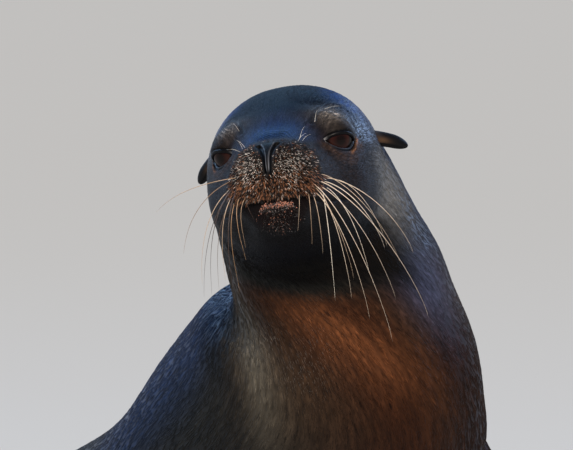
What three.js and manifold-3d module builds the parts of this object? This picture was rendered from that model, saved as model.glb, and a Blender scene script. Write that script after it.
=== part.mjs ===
// An adult female sea lion as a life-size still model: she sits up on her fore flippers with the
// head turned to her right. Millimetres, +Z up, floor at Z = 0, chest towards -Y, her left is +X.
import * as THREE from 'three';
import { ParametricGeometry } from 'three/addons/geometries/ParametricGeometry.js';
import { mergeVertices } from 'three/addons/utils/BufferGeometryUtils.js';
import Module from 'manifold-3d';

const wasm = await Module();
wasm.setup();

const gap = 0.3;            // clear space between neighbouring solids
const degree = Math.PI / 180;

// ---------------------------------------------------------------- driving sizes
// The head has a frame of its own: origin midway between the eyes, +Y to the back of the skull,
// +Z up, mouth line level. In the body that origin stands at eyeSeat and the muzzle is raised.
const eyeSeat = { y: -53, z: 625 };
const muzzleRaise = 14.5 * degree;

// The neck turns and leans the head about the base of the skull.
const skullBase = new THREE.Vector3(0, 38, 560);
const headTurn = 39.5 * degree;        // to her right
const headRoll = 9.5 * degree;         // left eye higher
const neckLean = new THREE.Vector3(-60, 0, 0);

// Every section of the body is a rounded ring from a point on the back line to one on the belly line:
// [name, back y, back z, belly y, belly z, half width, taper towards the top, squareness].
const headSections = [
  ['muzzleTip', -99, -13, -96, -66, 27, 0.00, 2.1],
  ['noseBase', -84, -6, -79, -84, 37, 0.04, 2.2],
  ['muzzle', -62, 3, -60, -94, 45, 0.08, 2.2],
  ['bridge', -40, 14, -42, -99, 53, 0.14, 2.2],
  ['beforeEyes', -14, 31, -24, -103, 63, 0.15, 2.15],
  ['eyes', 16, 50, -6, -107, 74, 0.10, 2.15],
  ['temple', 50, 66, 8, -111, 80.5, 0.02, 2.2],
  ['ears', 88, 72, 17, -115, 86.5, -0.02, 2.2],
  ['crown', 124, 62, 22, -119, 88.5, -0.03, 2.1],
  ['occiput', 151, 32, 25, -125, 93, -0.03, 2.05],
  ['nape', 166, -14, 26, -135, 98.5, -0.02, 2.0],
];
const bodySections = [
  ['neckTop', 125, 525, -66, 468, 105.5, 0, 2.0],
  ['neck', 142, 492, -73, 436, 110, 0, 2.0],
  ['neckBase', 168, 476, -84, 400, 121, 0, 2.0],
  ['shoulder', 200, 466, -90, 348, 134, 0, 2.0],
  ['chest', 240, 440, -64, 272, 143, 0, 2.0],
  ['ribs', 291, 394, 27, 195, 149, 0, 2.0],
  ['barrel', 345, 340, 140, 120, 149, 0, 2.0],
  ['waist', 415, 293, 262, 52, 146, 0, 2.0],
  ['loin', 500, 253, 405, 5, 138, 0, 2.0],
  ['hip', 596, 212, 555, -7, 122, 0, 2.0],
  ['rump', 690, 166, 674, -4, 96, 0, 2.0],
  ['tailRoot', 768, 112, 764, 18, 52, 0, 2.0],
  ['tail', 818, 78, 816, 34, 26, 0, 2.0],
  ['tailTip', 862, 58, 860, 34, 15, 0, 2.0],
];
const muzzleCap = 34;       // length over which the muzzle rounds off
const tailCap = 60;         // and the tail
const muzzleRound = 2.2;    // squareness of the muzzle's own rounding
const muzzleRings = 5;      // rings in each of these stretches
const tailRings = 4;
const growOnset = 0.05;     // share of the rounding at which a grown shape is fully grown

// Forms of the face, in the head's frame, the same on both sides:
// [where, spread, how far the flesh moves].
const faceForms = {
  browPad: [[50, 3, 25], [15, 17, 11], [4, -3, 1.5]],
  browCrease: [[44, 12, 42], [20, 12, 5], [-2, 1, -1.5]],
  bridgeHollow: [[0, -30, 18], [15, 22, 12], [0, 1, -3.5]],
  tearHollow: [[44, -26, -16], [12, 14, 13], [-4, 3, 0]],
  cheek: [[66, 14, -50], [22, 26, 22], [3, 0, -1]],
  whiskerPad: [[30, -70, -44], [17, 20, 16], [3.5, -3.5, 0]],
  upperLip: [[20, -84, -55], [18, 14, 7], [1.5, -3, -1]],
  jawSide: [[40, -58, -80], [14, 32, 12], [-5, 0, 2]],
  chin: [[0, -80, -86], [14, 12, 9], [0, -2, -3]],
};

const midline = 10;         // half width of the strip where nothing moves sideways

const eye = { x: 47, y: 9, z: 3, radius: 21, outward: 46 * degree };
// The lids' thickness over the ball, the softness of their slope, and where they start round it.
const lid = { thickness: 3, softness: 7, from: -0.1, over: 0.4 };
const lidSlit = { halfLength: 17, up: 6, down: 10, drop: -2.5, depth: 26 };
const nosePad = { y: -90, z: -21, width: 23, height: 33, depth: 20, narrowing: 0.45 };
const nostril = { width: 2.2, depth: 7, length: 20.5, lean: 14 * degree, aside: 4.6, raise: 1.5 };

// Ears: rolled cones on the same seat, the left one held out and the right one drooping, shorter.
const earSeat = new THREE.Vector3(80, 78, 8);
const ear = { width: 12, thickness: 17, sunk: 0.3, taper: 0.2, roundFrom: 0.55, bend: 7 };
const earFurrow = { depth: 0.35, spread: 0.5 };
const ears = {
  left: { length: 35, out: new THREE.Vector3(0.84, 0.50, -0.08) },
  right: { length: 27, out: new THREE.Vector3(0.80, 0.46, -0.38) },
};
const toes = 5;

// ---------------------------------------------------------------- small tools
// Natural cubic spline through the rows at the given stations; returns row(t).
function splineThrough(stations, rows) {
  const last = stations.length - 1;
  const step = stations.slice(1).map((s, i) => s - stations[i]);
  const bend = rows[0].map((_, column) => {
    const upper = [0];
    const value = [0];
    for (let i = 1; i < last; i++) {
      const rise = (rows[i + 1][column] - rows[i][column]) / step[i];
      const before = (rows[i][column] - rows[i - 1][column]) / step[i - 1];
      const pivot = 2 * (step[i - 1] + step[i]) - step[i - 1] * upper[i - 1];
      upper[i] = step[i] / pivot;
      value[i] = (6 * (rise - before) - step[i - 1] * value[i - 1]) / pivot;
    }
    const second = Array(last + 1).fill(0);
    for (let i = last - 1; i > 0; i--) second[i] = value[i] - upper[i] * second[i + 1];
    return second;
  });
  return (t) => {
    let i = 0;
    while (i < last - 1 && t > stations[i + 1]) i++;
    const a = stations[i + 1] - t;
    const b = t - stations[i];
    const h = step[i];
    return rows[i].map((start, c) => (bend[c][i] * a ** 3 + bend[c][i + 1] * b ** 3) / (6 * h)
      + (start / h - bend[c][i] * h / 6) * a + (rows[i + 1][c] / h - bend[c][i + 1] * h / 6) * b);
  };
}

// Rises from 0 to 1 with no corner and no jump in curvature.
function ease(x) {
  const s = THREE.MathUtils.clamp(x, 0, 1);
  return s ** 3 * (s * (6 * s - 15) + 10);
}

// A closed three.js geometry as a solid: seam and pole vertices are merged first.
function solidOf(geometry) {
  const bare = new THREE.BufferGeometry().setAttribute('position', geometry.getAttribute('position'));
  bare.setIndex(geometry.index);
  const merged = mergeVertices(bare, 1e-3);
  const faces = [];
  const index = merged.index.array;
  for (let i = 0; i < index.length; i += 3) {
    const [a, b, c] = index.slice(i, i + 3);
    if (a !== b && b !== c && c !== a) faces.push(a, b, c);
  }
  return new wasm.Manifold(new wasm.Mesh({
    numProp: 3,
    vertProperties: new Float32Array(merged.getAttribute('position').array),
    triVerts: new Uint32Array(faces),
  }));
}

function geometryOf(solid) {
  const mesh = solid.getMesh();
  const geometry = new THREE.BufferGeometry();
  geometry.setAttribute('position', new THREE.BufferAttribute(mesh.vertProperties, 3));
  geometry.setIndex(new THREE.BufferAttribute(mesh.triVerts, 1));
  return geometry;
}

const roomSize = 3000;
const aboveFloor = solidOf(new THREE.BoxGeometry(roomSize, roomSize, roomSize).translate(0, 0, roomSize / 2));

// ---------------------------------------------------------------- the body's shape
function headToBody(y, z) {
  const c = Math.cos(muzzleRaise);
  const s = Math.sin(muzzleRaise);
  return [eyeSeat.y + y * c + z * s, eyeSeat.z - y * s + z * c];
}

const sectionRows = [
  ...headSections.map(([, topY, topZ, lowY, lowZ, ...rest]) => (
    [...headToBody(topY, topZ), ...headToBody(lowY, lowZ), ...rest])),
  ...bodySections.map(([, ...row]) => row),
];
const sectionStations = sectionRows.reduce((list, row, i) => {
  if (i === 0) return [0];
  const last = sectionRows[i - 1];
  const back = Math.hypot(row[0] - last[0], row[1] - last[1]);
  const belly = Math.hypot(row[2] - last[2], row[3] - last[3]);
  return [...list, list[i - 1] + (back + belly) / 2];
}, []);
const sectionNames = [...headSections, ...bodySections].map(([name]) => name);
const stationOf = Object.fromEntries(sectionNames.map((name, i) => [name, sectionStations[i]]));
const bodyLength = sectionStations.at(-1);
const sectionAt = splineThrough(sectionStations, sectionRows);

// How much of the head's turn and lean a ring takes: all of it on the skull, none from the chest back.
function poseOfRing(t) {
  const share = THREE.MathUtils.clamp((stationOf.chest - t) / (stationOf.chest - stationOf.crown), 0, 1);
  const turn = ease(share);
  const lean = (share * share * (3 - 2 * share) + share * share) / 2;
  return new THREE.Matrix4().makeTranslation(skullBase.clone().addScaledVector(neckLean, lean))
    .multiply(new THREE.Matrix4().makeRotationZ(-headTurn * turn))
    .multiply(new THREE.Matrix4().makeRotationY(-headRoll * turn))
    .multiply(new THREE.Matrix4().makeTranslation(skullBase.clone().negate()));
}
const headPose = poseOfRing(0);
// Takes a shape from the head's own frame to where the head is.
const headFrame = headPose.clone()
  .multiply(new THREE.Matrix4().makeTranslation(0, eyeSeat.y, eyeSeat.z))
  .multiply(new THREE.Matrix4().makeRotationX(-muzzleRaise));

const eyeAcross = new THREE.Vector3(Math.cos(eye.outward), Math.sin(eye.outward), 0);
const eyeAhead = new THREE.Vector3(Math.sin(eye.outward), -Math.cos(eye.outward), 0);
const eyeCentre = new THREE.Vector3(eye.x, eye.y, eye.z);

// Shapes the face at a point of the head's frame: the forms, then lids that lie on the eyeball.
function shapeFace(point) {
  const side = Math.sign(point.x);
  const p = [Math.abs(point.x), point.y, point.z];
  for (const [where, spread, move] of Object.values(faceForms)) {
    const far = p.reduce((sum, v, i) => sum + ((v - where[i]) / spread[i]) ** 2, 0);
    const weight = Math.exp(-far);
    const offMiddle = Math.min(1, p[0] / midline);
    p[0] += weight * move[0] * offMiddle;
    p[1] += weight * move[1];
    p[2] += weight * move[2];
  }
  const arm = new THREE.Vector3(...p).sub(eyeCentre);
  const reach = arm.length();
  const lidRadius = eye.radius + lid.thickness;
  const mix = THREE.MathUtils.clamp(0.5 + (lidRadius - reach) / (2 * lid.softness), 0, 1);
  const lifted = reach * (1 - mix) + lidRadius * mix + lid.softness * mix * (1 - mix);
  const facing = ease((arm.dot(eyeAhead) / reach - lid.from) / lid.over);
  arm.multiplyScalar(1 + (lifted / reach - 1) * facing).add(eyeCentre);
  return point.set(arm.x * side, arm.y, arm.z);
}

// A point of the body's surface: t along it from muzzle tip to tail tip, angle round it from the back
// line, and how far the surface is grown.
function bodyPoint(t, angle, grow, target) {
  const [topY, topZ, lowY, lowZ, halfWidth, taper, power] = sectionAt(t);
  let round = 1;
  if (t < muzzleCap) round = (1 - (1 - t / muzzleCap) ** muzzleRound) ** (1 / muzzleRound);
  const pastTail = (t - bodyLength + tailCap) / tailCap;
  if (pastTail > 0) round = Math.sqrt(Math.max(0, 1 - pastTail ** 2));
  const c = Math.cos(angle);
  const s = Math.sin(angle);
  const radius = (Math.abs(c) ** power + Math.abs(s) ** power) ** (-1 / power);
  const half = Math.hypot(topY - lowY, topZ - lowZ) / 2;
  const grown = grow * Math.min(1, round / growOnset);
  const up = radius * c * (round + grown / half) / 2;
  const across = radius * s * (halfWidth * round + grown) * (1 - taper * c);
  target.set(across, (topY + lowY) / 2 + up * (topY - lowY), (topZ + lowZ) / 2 + up * (topZ - lowZ));
  if (t < stationOf.neckTop) {
    const cr = Math.cos(muzzleRaise);
    const sr = Math.sin(muzzleRaise);
    const dy = target.y - eyeSeat.y;
    const dz = target.z - eyeSeat.z;
    shapeFace(target.set(target.x, dy * cr - dz * sr, dy * sr + dz * cr));
    target.set(target.x, ...headToBody(target.y, target.z));
  }
  return target.applyMatrix4(poseOfRing(t));
}

// The solid between two stations, its ends flat: rings at the stations given, each end closed to its
// middle unless it is the muzzle's or the tail's own tip.
function makeLength(stations, around, grow = 0) {
  const crowding = 0.14;      // draws the lengthwise lines towards the flanks and the eyes
  const first = stations[0] > 0 ? 1 : 0;
  const last = stations.at(-1) < bodyLength ? 1 : 0;
  const rows = stations.length - 1 + first + last;
  const surface = (u, v, target) => {
    const row = Math.round(v * rows) - first;
    const angle = 2 * Math.PI * u + crowding * Math.sin(4 * Math.PI * u);
    const t = stations[THREE.MathUtils.clamp(row, 0, stations.length - 1)];
    if (row >= 0 && row < stations.length) return bodyPoint(t, angle, grow, target);
    const back = bodyPoint(t, 0, grow, new THREE.Vector3());
    return bodyPoint(t, Math.PI, grow, target).lerp(back, 0.5);
  };
  return solidOf(new ParametricGeometry(surface, around, rows));
}

// Evenly spaced stations from one named section to another, half a gap inside each, with the muzzle
// and the tail rounded off by closer rings.
function stationsBetween(stretches) {
  const list = [];
  for (const [from, to, count] of stretches) {
    const start = from === 'muzzleTip' ? muzzleCap : stationOf[from] + gap / 2;
    const finish = to === 'tailTip' ? bodyLength - tailCap : stationOf[to] - gap / 2;
    if (from === 'muzzleTip') {
      for (let i = 0; i < muzzleRings; i++) {
        list.push(muzzleCap * (1 - Math.cos(i / muzzleRings * Math.PI / 2)));
      }
    }
    for (let i = 0; i <= count; i++) {
      const t = start + (finish - start) * i / count;
      if (!list.length || t - list.at(-1) > 1) list.push(t);
    }
    if (to === 'tailTip') {
      for (let i = 1; i <= tailRings; i++) {
        list.push(bodyLength - tailCap * (1 - Math.sin(i / tailRings * Math.PI / 2)));
      }
    }
  }
  return list;
}

const headStations = stationsBetween([['muzzleTip', 'temple', 13], ['temple', 'nape', 6]]);
const trunkLengths = {
  neck: stationsBetween([['nape', 'neckBase', 5]]),
  chest: stationsBetween([['neckBase', 'barrel', 5]]),
  trunk: stationsBetween([['barrel', 'hip', 5]]),
  pelvis: stationsBetween([['hip', 'tailRoot', 3]]),
  tail: stationsBetween([['tailRoot', 'tailTip', 2]]),
};
const headAround = 44;
const trunkAround = 32;

// ---------------------------------------------------------------- flippers
// A flipper is a flat limb through [leading edge xyz, trailing edge xyz, thickness] rows.
const foreFlipperRows = [
  [58, -8, 342, 62, 158, 312, 70],
  [110, -24, 282, 106, 140, 232, 68],
  [152, -34, 206, 142, 108, 150, 54],
  [180, -37, 132, 168, 90, 84, 40],
  [201, -37, 66, 190, 84, 37, 31],
  [227, -30, 26, 208, 98, 18, 25],
  [268, -8, 14, 226, 124, 10.5, 20],
  [312, 32, 9.5, 246, 156, 7.5, 15.5],
  [350, 86, 7, 274, 190, 5.5, 12.5],
  [375, 142, 5.5, 308, 222, 4.5, 10],
  [386, 190, 4.5, 341, 246, 4, 8],
  [386, 222, 3.5, 364, 256, 3.5, 6],
];
const hindFlipperRows = [
  [30, 650, 84, 34, 734, 72, 60],
  [82, 646, 58, 84, 730, 50, 56],
  [124, 626, 36, 130, 712, 30, 46],
  [160, 594, 22, 176, 680, 18, 34],
  [190, 550, 12, 222, 644, 11, 25],
  [214, 499, 8, 266, 602, 7.5, 19],
  [232, 444, 5.5, 310, 556, 5.5, 14],
  [246, 388, 3.5, 352, 508, 3.5, 10],
];

// In rows: how far the root and the tip take to round off, how far the toes reach in from the end, half
// the turning stretch about the wrist, and the step that gives the limb's own direction.
const limbEnds = { root: 0.35, tip: 0.5, toes: 2, wrist: 2, step: 0.05 };

// Turns the free end of a limb about an upright axis through its wrist, in the limb's own left-hand frame.
function swing(rows, wrist, angle) {
  const pivot = [(rows[wrist][0] + rows[wrist][3]) / 2, (rows[wrist][1] + rows[wrist][4]) / 2];
  return rows.map((row, i) => {
    const share = ease((i - wrist + limbEnds.wrist) / (2 * limbEnds.wrist)) * angle;
    const turned = ([x, y]) => [
      pivot[0] + (x - pivot[0]) * Math.cos(share) - (y - pivot[1]) * Math.sin(share),
      pivot[1] + (x - pivot[0]) * Math.sin(share) + (y - pivot[1]) * Math.cos(share),
    ];
    return [...turned([row[0], row[1]]), row[2], ...turned([row[3], row[4]]), row[5], row[6]];
  });
}

// side is 1 for left and -1 for right. Steps run evenly across the upper face and back across the
// lower one, two to a toe, so that each toe's crown and each notch falls on a vertex.
function makeFlipper(rows, side, { rings, toeDepth, thickFront }) {
  const at = splineThrough(rows.map((_, i) => i), rows);
  const end = rows.length - 1;
  const edge = (row, first) => new THREE.Vector3(row[first], row[first + 1], row[first + 2]);
  const middle = (row) => edge(row, 0).add(edge(row, 3)).multiplyScalar(0.5);
  const surface = (u, v, target) => {
    const t = end * v;
    const row = at(t);
    const next = middle(at(Math.min(end, t + limbEnds.step)));
    const along = next.sub(middle(at(Math.max(0, t - limbEnds.step)))).normalize();
    const chord = edge(row, 0).sub(edge(row, 3)).multiplyScalar(0.5);
    const flat = along.clone().cross(chord).normalize();
    const share = Math.abs(4 * u - 2) - 1;
    const face = u < 0.5 ? 1 : -1;
    const rootCap = Math.sqrt(1 - (1 - Math.min(1, t / limbEnds.root)) ** 2);
    const endCap = Math.sqrt(1 - Math.max(0, (t - end + limbEnds.tip) / limbEnds.tip) ** 2);
    const thickness = row[6] * Math.sqrt(1 - share * share) * (1 + thickFront * share);
    target.copy(middle(row)).addScaledVector(chord, share);
    target.addScaledVector(flat, face * thickness / 2 * rootCap * endCap);
    const notch = 1 - Math.abs(Math.sin(toes * Math.PI * (share + 1) / 2));
    target.addScaledVector(along, -toeDepth * notch * ease((t - end + limbEnds.toes) / limbEnds.toes));
    target.x *= side;
    return target;
  };
  const mirrored = (u, v, target) => surface(side > 0 ? u : 1 - u, v, target);
  return solidOf(new ParametricGeometry(mirrored, toes * 4, rings));
}

const foreShape = { wrist: 4, rings: 15, toeDepth: 6, thickFront: 0.35 };
const hindShape = { wrist: 2, rings: 12, toeDepth: 30, thickFront: 0 };
const clawedToes = [1, 2, 3];

// A nail on the back of a hind toe: half length, half width, half height, how far its seat and the point
// it aims at are from the limb's end in rows, and how high it stands as a share of the thickness.
const nail = { length: 8, width: 2.6, height: 2.4, seat: 1.35, aim: 0.6, raise: 0.46, clearance: 0.6 };

function makeClaw(rows, side, toe, grow) {
  const at = splineThrough(rows.map((_, i) => i), rows);
  const share = (toe + 0.5) / toes;
  const across = ([x, y, z, ...trailing]) => (
    new THREE.Vector3(x, y, z).lerp(new THREE.Vector3(trailing[0], trailing[1], trailing[2]), share));
  const row = at(rows.length - 1 - nail.seat);
  const seat = across(row);
  const ahead = across(at(rows.length - 1 - nail.aim));
  const claw = new THREE.SphereGeometry(1, 6, 5);
  claw.scale(nail.length + grow, nail.width + grow, nail.height + grow);
  claw.rotateZ(Math.atan2(ahead.y - seat.y, ahead.x - seat.x));
  claw.translate(seat.x, seat.y, seat.z + row[6] * nail.raise);
  if (side < 0) {
    claw.scale(-1, 1, 1);
    claw.index.array.reverse();
  }
  return solidOf(claw);
}

// ---------------------------------------------------------------- eyes, ears, nose, mouth
function makeEyeball(side, grow) {
  const ball = new THREE.IcosahedronGeometry(eye.radius + grow, 2);
  ball.translate(side * eye.x, eye.y, eye.z).applyMatrix4(headFrame);
  return solidOf(ball);
}

// The open slit between the lids, as a leaf-shaped plug that faces the way the eye looks.
function makeLidSlit(side) {
  const { halfLength, up, down, drop } = lidSlit;
  const leaf = new THREE.Shape();
  leaf.moveTo(-halfLength, drop);
  leaf.bezierCurveTo(-halfLength * 0.5, drop + up * 1.1, halfLength * 0.5, drop + up * 1.5, halfLength, drop);
  leaf.bezierCurveTo(halfLength * 0.8, drop - down * 1.2, 0, drop - down * 1.3, -halfLength, drop);
  const cut = { depth: lidSlit.depth, bevelEnabled: false, curveSegments: 7 };
  const plug = new THREE.ExtrudeGeometry(leaf, cut);
  const facing = new THREE.Matrix4().makeBasis(eyeAcross, new THREE.Vector3(0, 0, 1), eyeAhead);
  plug.translate(0, 0, eye.radius * 0.5).applyMatrix4(facing).translate(eye.x, eye.y, eye.z);
  if (side < 0) {
    plug.scale(-1, 1, 1);
    const position = plug.getAttribute('position').array;
    for (let i = 0; i < position.length; i += 9) {
      const kept = position.slice(i, i + 3);
      position.copyWithin(i, i + 3, i + 6);
      position.set(kept, i + 3);
    }
  }
  return solidOf(plug.applyMatrix4(headFrame));
}

// A rolled ear with a round tip: a bent cone with a furrow along its lower side.
function makeEar(side, { length, out: heading }) {
  const out = heading.clone().normalize();
  const down = new THREE.Vector3(0, 0, -1).addScaledVector(out, out.z).normalize();
  const across = out.clone().cross(down);
  const surface = (u, v, target) => {
    const angle = 2 * Math.PI * u;
    const along = v * (1 + ear.sunk) - ear.sunk;
    const tip = Math.max(0, (along - ear.roundFrom) / (1 - ear.roundFrom));
    const close = Math.min(1, v * 12) * Math.sqrt(Math.max(0, 1 - tip ** 2)) * (1 - ear.taper * v);
    const below = Math.exp(-(((angle - Math.PI / 2) / earFurrow.spread) ** 2));
    const furrow = 1 - earFurrow.depth * below * Math.min(1, v * 3);
    target.copy(earSeat).addScaledVector(out, length * along)
      .addScaledVector(down, Math.sin(angle) * ear.thickness / 2 * furrow * close + ear.bend * v * v)
      .addScaledVector(across, Math.cos(angle) * ear.width / 2 * close);
    target.x *= side;
    return target;
  };
  const mirrored = (u, v, target) => surface(side > 0 ? 1 - u : u, v, target);
  return solidOf(new ParametricGeometry(mirrored, 10, 9).applyMatrix4(headFrame));
}

// The bare nose pad: wide above, narrow below, with two slit nostrils that close like a V.
function makeNose(grow) {
  const surface = (u, v, target) => {
    const angle = -2 * Math.PI * u;
    const ring = Math.sin(Math.PI * v);
    const height = Math.cos(angle) * ring;
    const narrow = 1 - nosePad.narrowing * (1 - height) / 2;
    return target.set(
      Math.sin(angle) * ring * narrow * (nosePad.width / 2 + grow),
      nosePad.y + Math.cos(Math.PI * v) * (nosePad.depth / 2 + grow),
      nosePad.z + height * (nosePad.height / 2 + grow),
    );
  };
  return solidOf(new ParametricGeometry(surface, 16, 9).applyMatrix4(headFrame));
}

function makeNostril(side) {
  const slit = new THREE.BoxGeometry(nostril.width, nostril.depth, nostril.length);
  const front = nosePad.y - nosePad.depth / 2;
  slit.rotateY(side * nostril.lean).translate(side * nostril.aside, front, nosePad.z + nostril.raise);
  return solidOf(slit.applyMatrix4(headFrame));
}

// Side view of the lower jaw: the mouth line above, then down behind the chin to the throat.
const jawBlockWidth = 200;

function makeJawBlock(shift) {
  const outline = new THREE.Shape();
  outline.moveTo(-118, -60.5);
  outline.lineTo(-84, -61.5);
  outline.quadraticCurveTo(-58, -67, -34, -63);
  outline.quadraticCurveTo(-24, -62, -14, -59);
  outline.bezierCurveTo(-4, -72, 2, -96, -4, -122);
  outline.lineTo(-60, -150);
  outline.lineTo(-118, -150);
  outline.closePath();
  const cut = { depth: jawBlockWidth, bevelEnabled: false, curveSegments: 5 };
  const block = new THREE.ExtrudeGeometry(outline, cut);
  // The outline's x is the head's y and its y is the head's z, so the extrusion runs across the head.
  block.applyMatrix4(new THREE.Matrix4().makeBasis(
    new THREE.Vector3(0, 1, 0), new THREE.Vector3(0, 0, 1), new THREE.Vector3(1, 0, 0)));
  return solidOf(block.translate(-jawBlockWidth / 2, -shift, -shift).applyMatrix4(headFrame));
}

// ---------------------------------------------------------------- finishes
const coat = new THREE.MeshStandardMaterial({ color: 0x3b2c22, roughness: 0.35, metalness: 0 });
const bareSkin = new THREE.MeshStandardMaterial({ color: 0x1c1918, roughness: 0.45, metalness: 0 });
const noseSkin = new THREE.MeshStandardMaterial({ color: 0x141313, roughness: 0.3, metalness: 0 });
const eyeGloss = new THREE.MeshStandardMaterial({ color: 0x2a1510, roughness: 0.05, metalness: 0 });
const horn = new THREE.MeshStandardMaterial({ color: 0x2f2823, roughness: 0.4, metalness: 0 });

// ---------------------------------------------------------------- assembly
const seaLion = new THREE.Group();
function place(name, solid, material) {
  const mesh = new THREE.Mesh(geometryOf(solid), material);
  mesh.name = name;
  seaLion.add(mesh);
}

const grownHead = makeLength(headStations, headAround, gap);
const grownTrunk = makeLength(Object.values(trunkLengths).flat(), trunkAround, gap);

let head = makeLength(headStations, headAround).subtract(makeNose(gap));
for (const side of [1, -1]) head = head.subtract(makeEyeball(side, gap)).subtract(makeLidSlit(side));
place('head', head.subtract(makeJawBlock(0)), coat);
place('lower_jaw', head.intersect(makeJawBlock(gap)), coat);
place('nose', makeNose(0).subtract(makeNostril(1)).subtract(makeNostril(-1)), noseSkin);
for (const [name, stations] of Object.entries(trunkLengths)) {
  place(name, makeLength(stations, trunkAround).intersect(aboveFloor), coat);
}

const sides = [
  { name: 'left', side: 1, foreSwing: 0, hindSwing: 0 },
  { name: 'right', side: -1, foreSwing: -9 * degree, hindSwing: 7 * degree },
];
for (const { name, side, foreSwing, hindSwing } of sides) {
  place('eye_' + name, makeEyeball(side, 0), eyeGloss);
  place('ear_' + name, makeEar(side, ears[name]).subtract(grownHead), coat);
  const foreRows = swing(foreFlipperRows, foreShape.wrist, foreSwing);
  const fore = makeFlipper(foreRows, side, foreShape);
  place('fore_flipper_' + name, fore.intersect(aboveFloor).subtract(grownTrunk), bareSkin);
  const hindRows = swing(hindFlipperRows, hindShape.wrist, hindSwing);
  let hind = makeFlipper(hindRows, side, hindShape).intersect(aboveFloor).subtract(grownTrunk);
  for (const toe of clawedToes) {
    place(`claw_${name}_${toe + 1}`, makeClaw(hindRows, side, toe, 0), horn);
    hind = hind.subtract(makeClaw(hindRows, side, toe, nail.clearance));
  }
  place('hind_flipper_' + name, hind, bareSkin);
}

// The origin is at the middle of the footprint, on the floor.
const extent = new THREE.Box3().setFromObject(seaLion);
seaLion.position.set(-(extent.min.x + extent.max.x) / 2, -(extent.min.y + extent.max.y) / 2, -extent.min.z);

export default seaLion;
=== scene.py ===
import math
import bpy
import numpy as np
from mathutils import Matrix, Vector


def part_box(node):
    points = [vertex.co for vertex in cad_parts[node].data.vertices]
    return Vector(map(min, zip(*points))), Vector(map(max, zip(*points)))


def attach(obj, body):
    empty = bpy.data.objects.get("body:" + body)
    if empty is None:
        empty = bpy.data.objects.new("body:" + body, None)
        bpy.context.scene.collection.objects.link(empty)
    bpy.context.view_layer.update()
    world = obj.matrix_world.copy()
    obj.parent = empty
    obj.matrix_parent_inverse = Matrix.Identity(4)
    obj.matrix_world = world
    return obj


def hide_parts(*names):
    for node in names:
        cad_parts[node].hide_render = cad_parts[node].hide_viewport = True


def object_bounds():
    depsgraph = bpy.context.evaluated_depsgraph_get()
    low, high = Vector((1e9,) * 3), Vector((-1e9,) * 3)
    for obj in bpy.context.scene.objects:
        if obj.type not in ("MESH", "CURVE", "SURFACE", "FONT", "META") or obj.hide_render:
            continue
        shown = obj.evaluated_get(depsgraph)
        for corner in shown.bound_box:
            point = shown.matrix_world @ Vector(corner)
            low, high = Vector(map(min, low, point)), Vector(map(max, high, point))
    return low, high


# A sea lion sitting up on her fore flippers, life size. The skin, coat, eyes, ears and whiskers
# are worked out in millimetres in her own straight frame: chest towards -Y, her left is +X, and
# the head has a frame of its own with its origin midway between the eyes and the mouth level.

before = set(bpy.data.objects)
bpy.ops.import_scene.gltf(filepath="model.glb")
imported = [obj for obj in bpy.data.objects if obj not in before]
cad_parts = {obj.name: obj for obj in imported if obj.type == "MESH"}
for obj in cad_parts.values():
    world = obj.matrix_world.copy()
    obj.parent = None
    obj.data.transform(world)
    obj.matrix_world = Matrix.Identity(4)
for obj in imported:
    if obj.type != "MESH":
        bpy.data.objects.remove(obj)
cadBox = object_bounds()
mm = 0.001
turn = 2.0 * math.pi
dice = np.random.default_rng(11)


# ---- whole-array tools

def ease(x):
    # s^3 (6 s^2 - 15 s + 10): from 0 to 1 with no corner
    s = np.clip(x, 0.0, 1.0)
    return s ** 3 * (s * (6.0 * s - 15.0) + 10.0)


def bell(*far):
    # e to minus the sum of the squares; each distance is already over its spread
    return np.exp(-sum(np.square(f) for f in far))


def unit(v):
    return v / np.maximum(np.linalg.norm(v, axis=-1, keepdims=True), 1e-12)


def dot(a, b):
    return np.sum(a * b, axis=-1)


def mixed(a, b, share):
    # a where share is 0 and b where it is 1
    share = np.asarray(share)[..., None]
    return a * (1.0 - share) + np.asarray(b) * share


def splineThrough(stations, rows):
    # natural cubic spline: second slopes from a tridiagonal system, then the usual cubic pieces
    stations = np.asarray(stations, float)
    rows = np.asarray(rows, float)
    step = np.diff(stations)
    count = len(stations)
    system = np.eye(count)
    right = np.zeros_like(rows)
    inner = np.arange(1, count - 1)
    system[inner, inner - 1] = step[:-1]
    system[inner, inner] = 2.0 * (step[:-1] + step[1:])
    system[inner, inner + 1] = step[1:]
    slope = np.diff(rows, axis=0) / step[:, None]
    right[inner] = 6.0 * np.diff(slope, axis=0)
    second = np.linalg.solve(system, right)

    def at(t):
        i = np.clip(np.searchsorted(stations, t, side="right") - 1, 0, count - 2)
        h = step[i][..., None]
        b = (t - stations[i])[..., None]
        a = h - b
        cubic = (second[i] * a ** 3 + second[i + 1] * b ** 3) / (6.0 * h)
        before = (rows[i] / h - second[i] * h / 6.0) * a
        after = (rows[i + 1] / h - second[i + 1] * h / 6.0) * b
        return cubic + before + after

    return at


def ripple(p, size, terms=7):
    # a soft wavering over p: the mean of sines in chance directions, waves about `size` long
    waves = unit(dice.normal(size=(terms, 3))) * (turn / size) * dice.uniform(0.7, 1.5, (terms, 1))
    phase = dice.uniform(0.0, turn, terms)
    return np.sin(p @ waves.T + phase).mean(axis=-1)


def colour(red, green, blue):
    # a colour as a screen shows it, 0 to 255, to the renderer's linear light
    screen = np.array([red, green, blue]) / 255.0
    return np.where(screen > 0.04045, ((screen + 0.055) / 1.055) ** 2.4, screen / 12.92)


# ---- the body: rings from a back line to a belly line, as the solids have them

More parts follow.
